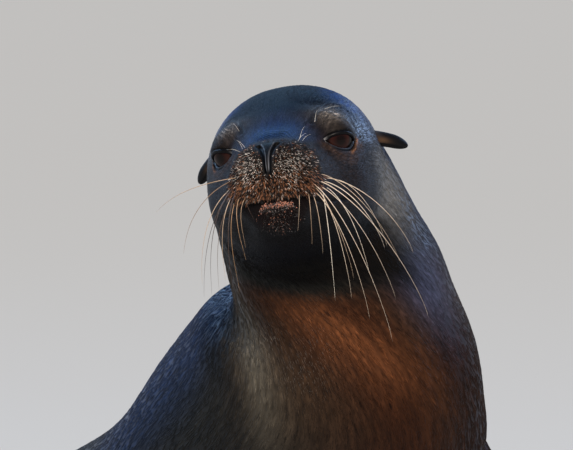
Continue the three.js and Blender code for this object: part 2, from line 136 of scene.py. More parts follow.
# section: back y, back z, belly y, belly z, half width, taper to the top, squareness
body = {
    "eyeSeat": (-53.0, 625.0),
    "muzzleRaise": math.radians(14.5),
    "skullBase": np.array([0.0, 38.0, 560.0]),
    "headTurn": math.radians(39.5),
    "headRoll": math.radians(9.5),
    "neckLean": np.array([-60.0, 0.0, 0.0]),
    "muzzleCap": 34.0,
    "tailCap": 60.0,
    "coatDepth": 1.2,
    "head": {
        "muzzleTip": (-99, -13, -96, -66, 27, 0.00, 2.1),
        "noseBase": (-84, -6, -79, -84, 37, 0.04, 2.2),
        "muzzle": (-62, 3, -60, -94, 45, 0.08, 2.2),
        "bridge": (-40, 14, -42, -99, 53, 0.14, 2.2),
        "beforeEyes": (-14, 31, -24, -103, 63, 0.15, 2.15),
        "eyes": (16, 50, -6, -107, 74, 0.10, 2.15),
        "temple": (50, 66, 8, -111, 80.5, 0.02, 2.2),
        "ears": (88, 72, 17, -115, 86.5, -0.02, 2.2),
        "crown": (124, 62, 22, -119, 88.5, -0.03, 2.1),
        "occiput": (151, 32, 25, -125, 93, -0.03, 2.05),
        "nape": (166, -14, 26, -135, 98.5, -0.02, 2.0),
    },
    "trunk": {
        "neckTop": (125, 525, -66, 468, 105.5, 0, 2),
        "neck": (142, 492, -73, 436, 110, 0, 2),
        "neckBase": (168, 476, -84, 400, 121, 0, 2),
        "shoulder": (200, 466, -90, 348, 134, 0, 2),
        "chest": (240, 440, -64, 272, 143, 0, 2),
        "ribs": (291, 394, 27, 195, 149, 0, 2),
        "barrel": (345, 340, 140, 120, 149, 0, 2),
        "waist": (415, 293, 262, 52, 146, 0, 2),
        "loin": (500, 253, 405, 5, 138, 0, 2),
        "hip": (596, 212, 555, -7, 122, 0, 2),
        "rump": (690, 166, 674, -4, 96, 0, 2),
        "tailRoot": (768, 112, 764, 18, 52, 0, 2),
        "tail": (818, 78, 816, 34, 26, 0, 2),
        "tailTip": (862, 58, 860, 34, 15, 0, 2),
    },
}


def headToBody(h):
    c, s = math.cos(body["muzzleRaise"]), math.sin(body["muzzleRaise"])
    seatY, seatZ = body["eyeSeat"]
    return np.stack([h[..., 0], seatY + h[..., 1] * c + h[..., 2] * s,
                     seatZ - h[..., 1] * s + h[..., 2] * c], axis=-1)


def bodyToHead(p):
    c, s = math.cos(body["muzzleRaise"]), math.sin(body["muzzleRaise"])
    y = p[..., 1] - body["eyeSeat"][0]
    z = p[..., 2] - body["eyeSeat"][1]
    return np.stack([p[..., 0], y * c - z * s, y * s + z * c], axis=-1)


def sectionTable():
    head = np.array(list(body["head"].values()), float)
    trunk = np.array(list(body["trunk"].values()), float)
    for column in (0, 2):
        line = np.stack([np.zeros(len(head)), head[:, column], head[:, column + 1]], axis=-1)
        head[:, column:column + 2] = headToBody(line)[:, 1:]
    rows = np.concatenate([head, trunk])
    back = np.hypot(np.diff(rows[:, 0]), np.diff(rows[:, 1]))
    belly = np.hypot(np.diff(rows[:, 2]), np.diff(rows[:, 3]))
    return np.concatenate([[0.0], np.cumsum((back + belly) / 2.0)]), rows


stations, sections = sectionTable()
station = dict(zip([*body["head"], *body["trunk"]], stations))
bodyLength = stations[-1]
sectionAt = splineThrough(stations, sections)


def posed(p, t):
    # the head's turn about the upright, its roll and its lean fade out down the neck
    share = np.clip((station["chest"] - t) / (station["chest"] - station["crown"]), 0.0, 1.0)
    lean = (share * share * (3.0 - 2.0 * share) + share * share) / 2.0
    swing = -body["headTurn"] * ease(share)
    roll = -body["headRoll"] * ease(share)
    q = p - body["skullBase"]
    x = q[..., 0] * np.cos(roll) + q[..., 2] * np.sin(roll)
    z = q[..., 2] * np.cos(roll) - q[..., 0] * np.sin(roll)
    turned = np.stack([x * np.cos(swing) - q[..., 1] * np.sin(swing),
                       x * np.sin(swing) + q[..., 1] * np.cos(swing), z], axis=-1)
    return turned + body["skullBase"] + lean[..., None] * body["neckLean"]


def headPosed(h):
    return posed(headToBody(h), np.zeros(h.shape[:-1]))


def ringPoint(t, angle):
    # a rounded ring: radius (|cos|^n + |sin|^n)^(-1/n), scaled to the section and shrunk by the coat
    topY, topZ, lowY, lowZ, halfWidth, taper, power = np.moveaxis(sectionAt(t), -1, 0)
    cap, tail = body["muzzleCap"], body["tailCap"]
    nose = (1.0 - np.clip(1.0 - t / cap, 0.0, 1.0) ** 2.2) ** (1.0 / 2.2)
    end = np.sqrt(1.0 - np.clip((t - bodyLength + tail) / tail, 0.0, 1.0) ** 2)
    full = nose * end
    c, s = np.cos(angle), np.sin(angle)
    radius = (np.abs(c) ** power + np.abs(s) ** power) ** (-1.0 / power)
    half = np.hypot(topY - lowY, topZ - lowZ) / 2.0
    grow = -body["coatDepth"] * np.minimum(1.0, full * 3.0)
    up = radius * c * (full + grow / half) / 2.0
    across = radius * s * (halfWidth * full + grow) * (1.0 - taper * c)
    return np.stack([across, (topY + lowY) / 2.0 + up * (topY - lowY),
                     (topZ + lowZ) / 2.0 + up * (topZ - lowZ)], axis=-1)


# ---- the face, in the head's frame

face = {
    # where, spread, how far the flesh moves; the same on both sides
    "forms": {
        "browPad": ((50, 3, 25), (15, 17, 11), (4, -3, 1.5)),
        "browCrease": ((44, 12, 42), (20, 12, 5), (-2, 1, -1.5)),
        "bridgeHollow": ((0, -30, 18), (15, 22, 12), (0, 1, -3.5)),
        "tearHollow": ((44, -26, -16), (12, 14, 13), (-4, 3, 0)),
        "cheek": ((66, 14, -50), (22, 26, 22), (3, 0, -1)),
        "whiskerPad": ((30, -70, -44), (17, 20, 16), (3.5, -3.5, 0)),
        "upperLip": ((20, -84, -55), (18, 14, 7), (1.5, -3, -1)),
        "jawSide": ((40, -58, -80), (14, 32, 12), (-5, 0, 2)),
        "chin": ((0, -80, -86), (14, 12, 9), (0, -2, -3)),
        "philtrum": ((0, -99, -47), (2.6, 10, 9), (0, 3, 0)),
    },
    "mouthHeight": -61.0,
    "mouthDip": 4.0,
    "mouthCorner": -12.0,
    "lipGroove": 2.6,
}
eye = {
    "centre": np.array([47.0, 9.0, 3.0]),
    "radius": 21.0,
    "outward": math.radians(46.0),
    "lid": 2.6,             # the lids' outer face over the ball
    "rim": 1.1,             # and their wet edge
    "softness": 7.0,
    "halfLength": 18.3,
    "up": 5.6,
    "down": 9.8,
    "drop": -3.6,
    "lowest": 3.0,          # how far outwards the lower lid hangs lowest
}
nose = {
    "top": -3.5,
    "slitTop": -7.0,
    "slitEnd": -37.0,
    "slitDepth": 5.0,
    "back": -60.0,          # nothing of the nose lies behind this y
    "centre": -0.8,         # the septum leans this far to her right
    "flare": 4.0,           # how far the nostrils turn outwards at their top
    "septum": (1.5, 0.8),   # half the septum at its foot, and how much wider it is at the top
    "slit": (0.75, 2.2),    # the same for half a nostril
}
eyeAcross = np.array([math.cos(eye["outward"]), math.sin(eye["outward"]), 0.0])
eyeAhead = np.array([math.sin(eye["outward"]), -math.cos(eye["outward"]), 0.0])


def mouthHeight(y):
    return face["mouthHeight"] - face["mouthDip"] * bell((y + 58.0) / 22.0)


def lipArch(x):
    # how far below the mouth's line the lower lip's pink row runs: 2.6 + (x - 2)^2 / 62
    return 2.6 + (x - 2.0) ** 2 / 62.0


def lidEdges(a):
    # heights of the upper and the lower lid's edge at a, measured outwards along the slit
    reach = eye["halfLength"]
    upper = eye["up"] * np.clip(1.0 - (a / reach) ** 2, 0.0, 1.0) ** 0.7
    low = np.where(a < eye["lowest"], (eye["lowest"] - a) / (reach + eye["lowest"]),
                   (a - eye["lowest"]) / (reach - eye["lowest"]))
    lower = -eye["down"] * np.clip(1.0 - low ** 2.2, 0.0, 1.0) ** 0.85
    return upper + eye["drop"], lower + eye["drop"]


def fromLids(h):
    # distance out of the slit between the lids, negative inside it, with the place along and up
    arm = np.stack([np.abs(h[..., 0]), h[..., 1], h[..., 2]], axis=-1) - eye["centre"]
    a, b = arm @ eyeAcross, arm[..., 2]
    upper, lower = lidEdges(a)
    out = np.maximum(np.maximum(b - upper, lower - b), np.abs(a) - eye["halfLength"])
    corner = np.hypot(np.maximum(np.abs(a) - eye["halfLength"], 0.0), b - eye["drop"])
    out = np.where(np.abs(a) > eye["halfLength"], corner, out)
    return np.where(arm @ eyeAhead > 0.0, out, 60.0), a, b


def nostrilAt(z):
    # how far from the middle a nostril runs at height z, and half its width: both grow upwards
    rise = np.clip((z - nose["slitEnd"]) / (nose["slitTop"] - nose["slitEnd"]), 0.0, 1.0)
    half = nose["slit"][0] + nose["slit"][1] * rise ** 2.2
    return nose["septum"][0] + nose["septum"][1] * rise + nose["flare"] * rise ** 5 + half, half


def noseMask(h):
    # 1 on the bare pad, which reaches just past the nostrils, 0 on the furred muzzle
    x, z = np.abs(h[..., 0] - nose["centre"]), h[..., 2]
    middle, half = nostrilAt(z)
    aside = ease((middle + half + 1.8 - x) / 2.0)
    within = aside * ease((z - nose["slitEnd"] + 3.0) / 3.0) * ease((nose["top"] - z) / 3.0)
    return within * (h[..., 1] < nose["back"])


def slitMask(h, width=1.0):
    x, z = np.abs(h[..., 0] - nose["centre"]), h[..., 2]
    middle, half = nostrilAt(z)
    far = (np.abs(x - middle) / (half * width)) ** 2
    ends = ease((z - nose["slitEnd"] + 1.0) / 3.0) * ease((nose["slitTop"] + 1.5 - z) / 3.0)
    return bell(far) * ends * (h[..., 1] < nose["back"])


def shapeFace(h, spacing):
    # forms first, then mouth and nose, then lids that lie on the eyeball and part round the slit
    side = np.where(h[..., 0] < 0.0, -1.0, 1.0)
    p = np.stack([np.abs(h[..., 0]), h[..., 1], h[..., 2]], axis=-1)
    for where, spread, move in face["forms"].values():
        weight = bell(*np.moveaxis((p - np.array(where)) / np.array(spread), -1, 0))
        offMiddle = np.minimum(1.0, p[..., 0] / 10.0)
        push = np.stack([offMiddle, np.ones_like(offMiddle), np.ones_like(offMiddle)], axis=-1)
        p = p + weight[..., None] * np.array(move) * push
    groove = bell((p[..., 2] - mouthHeight(p[..., 1])) / 1.5) * ease((face["mouthCorner"] - p[..., 1]) / 14.0)
    p[..., 0] -= groove * face["lipGroove"] * ease(p[..., 0] / 25.0)
    p[..., 1] += groove * face["lipGroove"] * (1.0 - ease(p[..., 0] / 45.0))
    middle, half = nostrilAt(p[..., 2])
    wing = bell((p[..., 0] - middle - half - 2.4) / 2.4, (p[..., 2] + 16.0) / 11.0)
    wing = wing * (p[..., 1] < nose["back"])
    sided = p * np.stack([side, 1.0 + 0.0 * side, 1.0 + 0.0 * side], axis=-1)
    p[..., 1] += nose["slitDepth"] * slitMask(sided) - 0.5 * noseMask(sided) - 1.3 * wing
    arm = p - eye["centre"]
    reach = np.linalg.norm(arm, axis=-1)
    outer = eye["radius"] + eye["lid"]
    soft = eye["softness"]
    share = np.clip(0.5 + (outer - reach) / (2.0 * soft), 0.0, 1.0)
    lifted = reach * (1.0 - share) + outer * share + soft * share * (1.0 - share)
    facing = ease((arm @ eyeAhead / reach + 0.1) / 0.4)
    arm = arm * (1.0 + (lifted / reach - 1.0) * facing)[..., None]
    # lids: points near an edge move onto it, those inside drop behind the ball
    a, b, ahead = arm @ eyeAcross, arm[..., 2], arm @ eyeAhead
    upper, lower = lidEdges(a)
    within = (np.abs(a) < eye["halfLength"]) & (ahead > 0.0)
    onUpper = within & (np.abs(b - upper) < 0.55 * spacing)
    onLower = within & (np.abs(b - lower) < 0.55 * spacing) & ~onUpper
    b = np.where(onUpper, upper, np.where(onLower, lower, b))
    out = np.maximum(b - upper, lower - b)
    inside = within & (out < -0.01 * spacing) & ~onUpper & ~onLower
    far, _, _ = fromLids(p * 0.0 + eye["centre"] + a[..., None] * eyeAcross + ahead[..., None] * eyeAhead
                         + b[..., None] * np.array([0.0, 0.0, 1.0]))
    reach = np.linalg.norm(arm, axis=-1)
    rimmed = eye["radius"] + eye["rim"] + (reach - eye["radius"] - eye["rim"]) * ease(far / 6.0 + 0.12)
    radius = np.where(inside, eye["radius"] - 3.0, np.where(far < 7.0, np.minimum(reach, rimmed), reach))
    flat = np.sqrt(np.maximum(radius ** 2 - a ** 2 - b ** 2, 1.0))
    ahead = np.where(within & (far < 7.0) | (far < 7.0) & (ahead > 0.0), flat, ahead)
    p = eye["centre"] + a[..., None] * eyeAcross + ahead[..., None] * eyeAhead
    p[..., 2] = eye["centre"][2] + b
    p[..., 0] *= side
    return p


browArc = np.array([
    (33, -16, 17), (37, -4, 28), (42, 11, 35), (50, 27, 39), (59, 35, 37), (68, 38, 28), (75, 29, 10),
], float)


def fromArc(p):
    # shortest distance to the brow's arc, a chain of straight pieces, and how far along it from 0 to 1
    best = np.full(p.shape[:-1], 1e9)
    place = np.zeros(p.shape[:-1])
    for n, (a, b) in enumerate(zip(browArc[:-1], browArc[1:])):
        along = np.clip(((p - a) @ (b - a)) / np.sum((b - a) ** 2), 0.0, 1.0)
        far = np.linalg.norm(p - a - along[..., None] * (b - a), axis=-1)
        place = np.where(far < best, (n + along) / (len(browArc) - 1), place)
        best = np.minimum(best, far)
    return best, place


def bridgeFolds(h):
    # 1 at the bottom of the wrinkles across the bridge: a cosine along it, bowed by x^2, within a soft patch
    x, y, z = h[..., 0], h[..., 1], h[..., 2]
    patch = bell(x / 18.0, (y + 54.0) / 15.0) * ease((z + 5.0) / 6.0)
    waver = 1.6 * np.sin(x / 3.1) * np.sin(y / 7.0 + 1.0)
    return patch * (0.5 + 0.5 * np.cos(turn * (y + 0.045 * x * x + waver) / 6.4)) ** 1.5


def faceRelief(h):
    # wrinkles and folds of the head, in millimetres along the surface's normal
    x, y, z = np.abs(h[..., 0]), h[..., 1], h[..., 2]
    far, _, b = fromLids(h)
    below = ease((2.0 - b) / 8.0)
    folds = -0.55 * (0.5 + 0.5 * np.cos(turn * (far - 1.2) / 4.3)) * np.exp(-far / 10.0) * ease(far / 2.0)
    height = folds * (0.30 + 0.70 * below)
    arc, _ = fromArc(np.stack([x, y, z], axis=-1))
    height = height - 1.7 * bell(arc / 1.7) + 0.7 * bell((arc - 4.0) / 2.4)
    pad = bell((x - 50.0) / 14.0, (y - 6.0) / 17.0, (z - 24.0) / 10.0)
    height = height + 1.3 * pad + 0.30 * ripple(h, 5.0) * pad
    height = height - 2.0 * bridgeFolds(h)
    return height + 0.25 * ripple(h, 16.0)


# ---- flippers: leading edge, trailing edge, thickness, from the root out

flippers = {
    "fore": {
        "rows": [
            (58, -8, 342, 62, 158, 312, 70), (110, -24, 282, 106, 140, 232, 68),
            (152, -34, 206, 142, 108, 150, 54), (180, -37, 132, 168, 90, 84, 40),
            (201, -37, 66, 190, 84, 37, 31), (227, -30, 26, 208, 98, 18, 25),
            (268, -8, 14, 226, 124, 10.5, 20), (312, 32, 9.5, 246, 156, 7.5, 15.5),
            (350, 86, 7, 274, 190, 5.5, 12.5), (375, 142, 5.5, 308, 222, 4.5, 10),
            (386, 190, 4.5, 341, 246, 4, 8), (386, 222, 3.5, 364, 256, 3.5, 6),
        ],
        "wrist": 4, "swing": {1: 0.0, -1: math.radians(-9.0)},
        "toeDepth": 6.0, "thickFront": 0.35, "grid": (56, 60), "melt": 60.0, "blend": 90.0, "furTo": 4.6,
    },
    "hind": {
        "rows": [
            (30, 650, 84, 34, 734, 72, 60), (82, 646, 58, 84, 730, 50, 56),
            (124, 626, 36, 130, 712, 30, 46), (160, 594, 22, 176, 680, 18, 34),
            (190, 550, 12, 222, 644, 11, 25), (214, 499, 8, 266, 602, 7.5, 19),
            (232, 444, 5.5, 310, 556, 5.5, 14), (246, 388, 3.5, 352, 508, 3.5, 10),
        ],
        "wrist": 2, "swing": {1: 0.0, -1: math.radians(7.0)},
        "toeDepth": 30.0, "thickFront": 0.0, "grid": (48, 80), "melt": 34.0, "blend": 70.0, "furTo": 2.6,
    },
}
toes = 5
limbShrink = 0.5


def swung(rows, wrist, angle):
    # the free end turned about an upright axis through the wrist
    rows = np.array(rows, float)
    pivot = (rows[wrist, 0:2] + rows[wrist, 3:5]) / 2.0
    share = ease((np.arange(len(rows)) - wrist + 2.0) / 4.0) * angle
    c, s = np.cos(share), np.sin(share)
    for first in (0, 3):
        x, y = rows[:, first] - pivot[0], rows[:, first + 1] - pivot[1]
        rows[:, first] = pivot[0] + x * c - y * s
        rows[:, first + 1] = pivot[1] + x * s + y * c
    return rows


def flipperPoint(limb, side, t, u):
    # chord from the trailing to the leading edge, a lens across it, lobes for the toes at the end
    rows = swung(limb["rows"], limb["wrist"], limb["swing"][side])
    at = splineThrough(np.arange(len(rows)), rows)
    end = len(rows) - 1.0
    row = at(t)
    middle = lambda r: (r[..., 0:3] + r[..., 3:6]) / 2.0
    along = unit(middle(at(np.minimum(end, t + 0.05))) - middle(at(np.maximum(0.0, t - 0.05))))
    chord = (row[..., 0:3] - row[..., 3:6]) / 2.0
    flat = unit(np.cross(along, chord))
    around = u if side > 0 else 1.0 - u
    share = np.abs(4.0 * around - 2.0) - 1.0
    upper = np.where(around < 0.5, 1.0, -1.0)
    rootCap = np.sqrt(1.0 - (1.0 - np.minimum(1.0, t / 0.35)) ** 2)
    endCap = np.sqrt(1.0 - np.clip((t - end + 0.5) / 0.5, 0.0, 1.0) ** 2)
    free = ease((t - limb["wrist"] - 0.5) / 2.0)
    finger = np.abs(np.sin(toes * math.pi * (share + 1.0) / 2.0))
    ridge = 1.0 - 0.30 * free * (1.0 - finger) * (1.0 - 0.4 * (upper < 0.0))
    lens = np.sqrt(np.maximum(0.0, 1.0 - share * share)) * (1.0 + limb["thickFront"] * share)
    thickness = np.maximum(row[..., 6] * lens * ridge - 2.0 * limbShrink, 0.4 * lens)
    p = middle(row) + chord * (share * 0.995)[..., None]
    p = p + flat * (upper * thickness / 2.0 * rootCap * endCap)[..., None]
    notch = 1.0 - finger
    p = p - along * (limb["toeDepth"] * notch * ease((t - end + 2.0) / 2.0))[..., None]
    return p * np.array([side, 1.0, 1.0])


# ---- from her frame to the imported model's

def eyeMiddle(name):
    low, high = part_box(name)
    return np.array((low + high) / 2.0)


ownEyes = headPosed(eye["centre"] * np.array([[1.0, 1.0, 1.0], [-1.0, 1.0, 1.0]])).mean(axis=0)
shift = (eyeMiddle("eye_left") + eyeMiddle("eye_right")) / 2.0 - ownEyes * mm


def toModel(p):
    # millimetres in her frame to metres in the model's, never below the floor
    q = p * mm + shift
    q[..., 2] = np.maximum(q[..., 2], 0.0)
    return q


# ---- markings: named coat colours laid over each other, painted light and shade among them

shades = {
    "backDarkSkySheen": colour(10, 34, 68),
    "rearBack": colour(20, 25, 34),
    "crownDark": colour(2, 6, 18),
    "crownSkySheen": colour(8, 38, 88),
    "bridgeSkySheen": colour(8, 44, 92),
    "flank": colour(27, 27, 24),
    "throat": colour(9, 6, 4),
    "chestBrownAndPaintedLight": colour(88, 51, 28),
    "chestLow": colour(44, 22, 9),
    "chestSide": colour(54, 43, 31),
    "belly": colour(56, 36, 24),
    "neckGreySheen": colour(110, 110, 111),
    "slateSkySheen": colour(62, 72, 104),
    "paleFlankHighlight": colour(98, 94, 84),
    # painted shadow for the fold on her right side
    "fold": colour(10, 11, 12),
    "faceBrown": colour(25, 19, 16),
    "browGrey": colour(90, 83, 76),
    "muzzle": colour(24, 16, 12),
    "noseBlack": colour(9, 8, 9),
    "noseRimHighlight": colour(120, 122, 130),
    "lipPink": colour(156, 100, 82),
    "lipDark": colour(18, 11, 10),
    "lidBlack": colour(5, 4, 5),
    "tanPatch": colour(116, 78, 50),
    "underEye": colour(50, 36, 28),
    "browLine": colour(170, 178, 186),
    "nostrilShadowBlack": colour(3, 3, 4),
    "lowerLidDarkAndSky": colour(34, 38, 46),
    "eyeCornerGlint": colour(170, 170, 176),
    "earBack": colour(52, 50, 54),
    "earTan": colour(78, 58, 42),
    "flipperBlack": colour(22, 20, 20),
}


def trunkMarksAndPaintedLight(rest, back, t):
    # dark back under a painted blue sky reflection, grey-brown flanks, a brown band slanting across the chest
    # brightened by painted light, dark below it
    x, y, z, side = rest[..., 0], rest[..., 1], rest[..., 2], np.abs(rest[..., 0])
    tint = np.broadcast_to(shades["flank"], rest.shape).copy()
    # painted blue sky reflection on her upper side, over her own dark back; plain dark towards the rear
    above = ease((back + 0.10) / 0.75)
    tint = mixed(tint, mixed(shades["backDarkSkySheen"], shades["rearBack"], ease((t - 600.0) / 220.0)), above)
    under = ease((0.30 - back) / 0.7) * ease((t - station["nape"] + 20.0) / 60.0)
    flanking = under * ease((t - 235.0) / 60.0) * ease((470.0 - t) / 120.0)
    tint = mixed(tint, shades["chestSide"], flanking * 0.8)
    middle = bell((x + 8.0) / 84.0) * under * ease((t - 225.0) / 55.0) * (1.0 - ease((t - 620.0) / 200.0))
    tint = mixed(tint, shades["chestLow"], middle)
    # painted shade: her left side of the chest darkened further
    right = ease((x - 10.0) / 60.0) * under * ease((t - 290.0) / 60.0) * ease((700.0 - t) / 200.0)
    tint = mixed(tint, shades["chestLow"] * 0.55, right * 0.85)
    across = t - 294.0 - 0.90 * (x + 25.0) + 7.0 * ripple(rest, 60.0)
    reach = bell((x + 18.0) / np.where(x > -18.0, 54.0, 62.0))
    # her own brown chest fur, brightened by a painted pool of light strongest on the upper chest
    chestLitBand = bell(across / np.where(across < 0.0, 38.0, 50.0)) * reach * under
    chestLitBand = chestLitBand * (0.25 + 0.75 * ease((400.0 - t) / 80.0))
    tint = mixed(tint, shades["chestBrownAndPaintedLight"], chestLitBand * 0.95)
    tint = mixed(tint, shades["belly"], ease((0.1 - back) / 0.6) * ease((t - station["ribs"]) / 260.0) * 0.85)
    # her right side: a painted pale highlight behind the chest, and a painted shadow in the fold between it
    # and the shoulder
    # painted highlight: a pale streak behind the chest
    pale = ease((-x - 84.0) / 16.0) * bell((y - 4.0) / 24.0) * bell((t - 350.0) / 75.0)
    tint = mixed(tint, shades["paleFlankHighlight"], pale * 0.55)
    # painted shadow in the fold between the flank and the shoulder
    fold = ease((-x - 92.0) / 20.0) * bell((z - 385.0 - 0.56 * (y - 49.0)) / 17.0) * bell((y - 80.0) / 42.0)
    tint = mixed(tint, shades["fold"], fold * 0.75)
    # her left side: a painted cool sheen below the neck's painted grey sheen
    cool = bell((x - 84.0) / 22.0) * bell((t - 278.0) / 44.0) * ease((0.6 - back) / 0.4)
    tint = mixed(tint, shades["slateSkySheen"], cool * 0.6)
    # painted grey sheen on the neck's sides
    grey = ease((side - 60.0) / 26.0) * bell((t - 188.0) / 40.0) * ease((0.45 - back) / 0.5)
    return mixed(tint, shades["neckGreySheen"], grey * 0.75)


def bodyMarksAndPaintedLight(rest, angle, t):
    # the trunk's colours, then the head's over them; h is the point in the head's frame
    h = bodyToHead(rest)
    x, y, z = np.abs(h[..., 0]), h[..., 1], h[..., 2]
    back = np.cos(angle)
    tint = trunkMarksAndPaintedLight(rest, back, t)
    onHead = ease((station["nape"] + 10.0 - t) / 60.0)
    # under the chin: her dark throat fur, darkened further by the chin's painted shadow
    throat = ease((station["nape"] + 28.0 - t + 0.45 * rest[..., 0]) / 56.0)
    throat = throat * ease((-58.0 - z) / 24.0) * ease((98.0 - x) / 30.0)
    tint = mixed(tint, shades["throat"], throat)
    front = ease((60.0 - y) / 50.0) * onHead * ease((z + 85.0) / 25.0)
    tint = mixed(tint, shades["faceBrown"], front)
    crown = onHead * ease((z - 20.0 + 0.10 * y) / 22.0)
    # the crown: dark fur, turning towards its rim into a painted blue sky reflection
    rimmed = ease((x - 26.0) / 30.0) * ease((y - 20.0) / 40.0)
    crownDarkAndSheen = mixed(np.broadcast_to(shades["crownDark"], tint.shape), shades["crownSkySheen"], rimmed)
    tint = mixed(tint, crownDarkAndSheen, crown)
    # painted blue sky reflection over the bridge
    bridge = bell(x / 30.0, (y + 45.0) / 26.0) * ease((z + 8.0) / 8.0) * onHead
    tint = mixed(tint, shades["bridgeSkySheen"], bridge * 0.9)
    # painted shade in the bottoms of the bridge's wrinkles
    tint = mixed(tint, shades["crownDark"] * 0.6, np.minimum(1.0, 1.7 * bridgeFolds(h)) * onHead)
    muzzle = ease((-46.0 - y) / 22.0) * ease((z + 66.0) / 10.0) * ease((4.0 - z) / 8.0)
    tint = mixed(tint, shades["muzzle"], muzzle * 0.9 * onHead)
    place = np.stack([x, y, z], axis=-1)
    arc, along = fromArc(place)
    brow = bell((x - 50.0) / 17.0, (y - 6.0) / 19.0, (z - 23.0) / 12.0)
    # grey brow pads; her right one is given less grey, painted shade on that side
    tint = mixed(tint, shades["browGrey"], brow * np.where(h[..., 0] < 0.0, 0.62, 0.8))
    # painted shade along the brow's crease
    tint = mixed(tint, shades["crownDark"], bell((arc - 1.2) / 2.2) * 0.7 * onHead)
    browLine = bell((arc - 0.2) / 0.9) * bell((along - 0.5) / 0.22)
    tint = mixed(tint, shades["browLine"], browLine * 0.8 * onHead)
    far, a, b = fromLids(h)
    tint = mixed(tint, shades["underEye"], 0.7 * bell((far - 9.0) / 6.0) * ease((-b - 2.0) / 8.0))
    tan = bell((far - 4.6) / 1.2) * ease((a - 3.0) / 9.0) * ease((2.0 - b) / 5.0)
    tint = mixed(tint, shades["tanPatch"], 0.75 * tan)
    tint = mixed(tint, shades["lidBlack"], ease((3.0 + 0.9 * ease(b / 4.0) - far) / 1.4))
    lipLine = mouthHeight(y)
    frontLip = ease((-66.0 - y) / 12.0) * onHead
    tint = mixed(tint, shades["lipDark"], frontLip * ease((lipLine - z) / 2.0) * ease((z + 104.0) / 10.0))
    row = bell((z - lipLine + lipArch(h[..., 0])) / 1.6) * ease((18.0 - np.abs(h[..., 0] - 3.0)) / 4.0)
    tint = mixed(tint, shades["lipPink"], row * frontLip * ease((ripple(h, 3.0, 9) - 0.02) / 0.20) * 0.7)
    # the mouth's line: the lips' dark join, with painted shade under the upper lip
    mouthLineAndShade = bell((z - lipLine) / 1.1) * ease((face["mouthCorner"] - y) / 10.0)
    tint = mixed(tint, shades["lidBlack"], mouthLineAndShade * onHead)
    pad = noseMask(h)
    tint = mixed(tint, shades["noseBlack"], pad)
    aside = np.abs(h[..., 0] - nose["centre"])
    middle, half = nostrilAt(z)
    # painted highlight on the wet inner rims of the nostrils
    edge = bell((aside - middle + half + 0.4) / 0.5) * pad * ease((z - nose["slitEnd"] - 1.0) / 4.0)
    tint = mixed(tint, shades["noseRimHighlight"], edge * 0.6)
    # painted shade inside the nostril slits
    tint = mixed(tint, shades["nostrilShadowBlack"], ease(slitMask(h, 1.15) * 1.6))
    bare = np.maximum(pad, ease((2.6 - far) / 1.2))
    bare = np.maximum(bare, frontLip * bell((z - lipLine + 4.0) / 5.0, h[..., 0] / 20.0))
    wet = 0.05 + 0.45 * ease((back - 0.05) / 0.8) + 0.30 * ease((x - 72.0) / 24.0) * ease((z + 260.0) / 160.0)
    dome = np.maximum(ease((x - 42.0) / 34.0) * ease((y + 10.0) / 40.0), ease((y - 84.0) / 30.0))
    dome = 0.03 + 0.82 * dome * ease((z + 12.0) / 30.0)
    wet = wet * (1.0 - onHead) + dome * onHead
    wet = wet * (1.0 - 0.8 * onHead * ease((-50.0 - z) / 20.0))
    wet = np.clip(wet + 0.12 * bridge - 0.35 * brow * onHead, 0.02, 1.0)
    cheek = bell((x - 60.0) / 30.0, (y + 10.0) / 40.0, (z + 30.0) / 30.0)
    speck = np.clip(brow * 1.2 + 0.4 * cheek, 0.0, 1.0) * onHead
    tint = tint * np.exp(5.0 * speck * ripple(h, 2.8, 16))[..., None]
    streak = ripple(np.stack([80.0 * np.cos(angle), 80.0 * np.sin(angle), 0.35 * t], axis=-1), 3.6, 16)
    tint = tint * np.exp(1.4 * streak * (1.0 - bare))[..., None]
    return tint, bare, wet * (1.0 - pad) + 0.10 * pad, speck


def limbMarks(limb, t, shape):
    tint = np.broadcast_to(shades["flank"], shape).copy()
    bare = ease((t - limb["furTo"] + 1.2) / 2.0)
    return mixed(tint, shades["flipperBlack"], bare), bare, 0.12 + 0.15 * bare


# ---- surfaces as grids: rows along, columns round

def gridNormals(p):
    across = np.roll(p, -1, axis=1) - np.roll(p, 1, axis=1)
    along = np.gradient(p, axis=0)
    return unit(np.cross(across, along)), along


def spreadOut(density, count):
    # values of 0..1 whose spacing is the inverse of density, itself given over an even 0..1
    total = np.concatenate([[0.0], np.cumsum((density[1:] + density[:-1]) / 2.0)])
    return np.interp(np.linspace(0.0, 1.0, count), total / total[-1], np.linspace(0.0, 1.0, len(density)))


bodyGrid = {"rows": 262, "columns": 300, "tailRings": 14, "samples": 3000}
wholeSheet = (0.0, 0.0, 1.0, 1.0)      # the island of a piece with a whole unwrap of its own


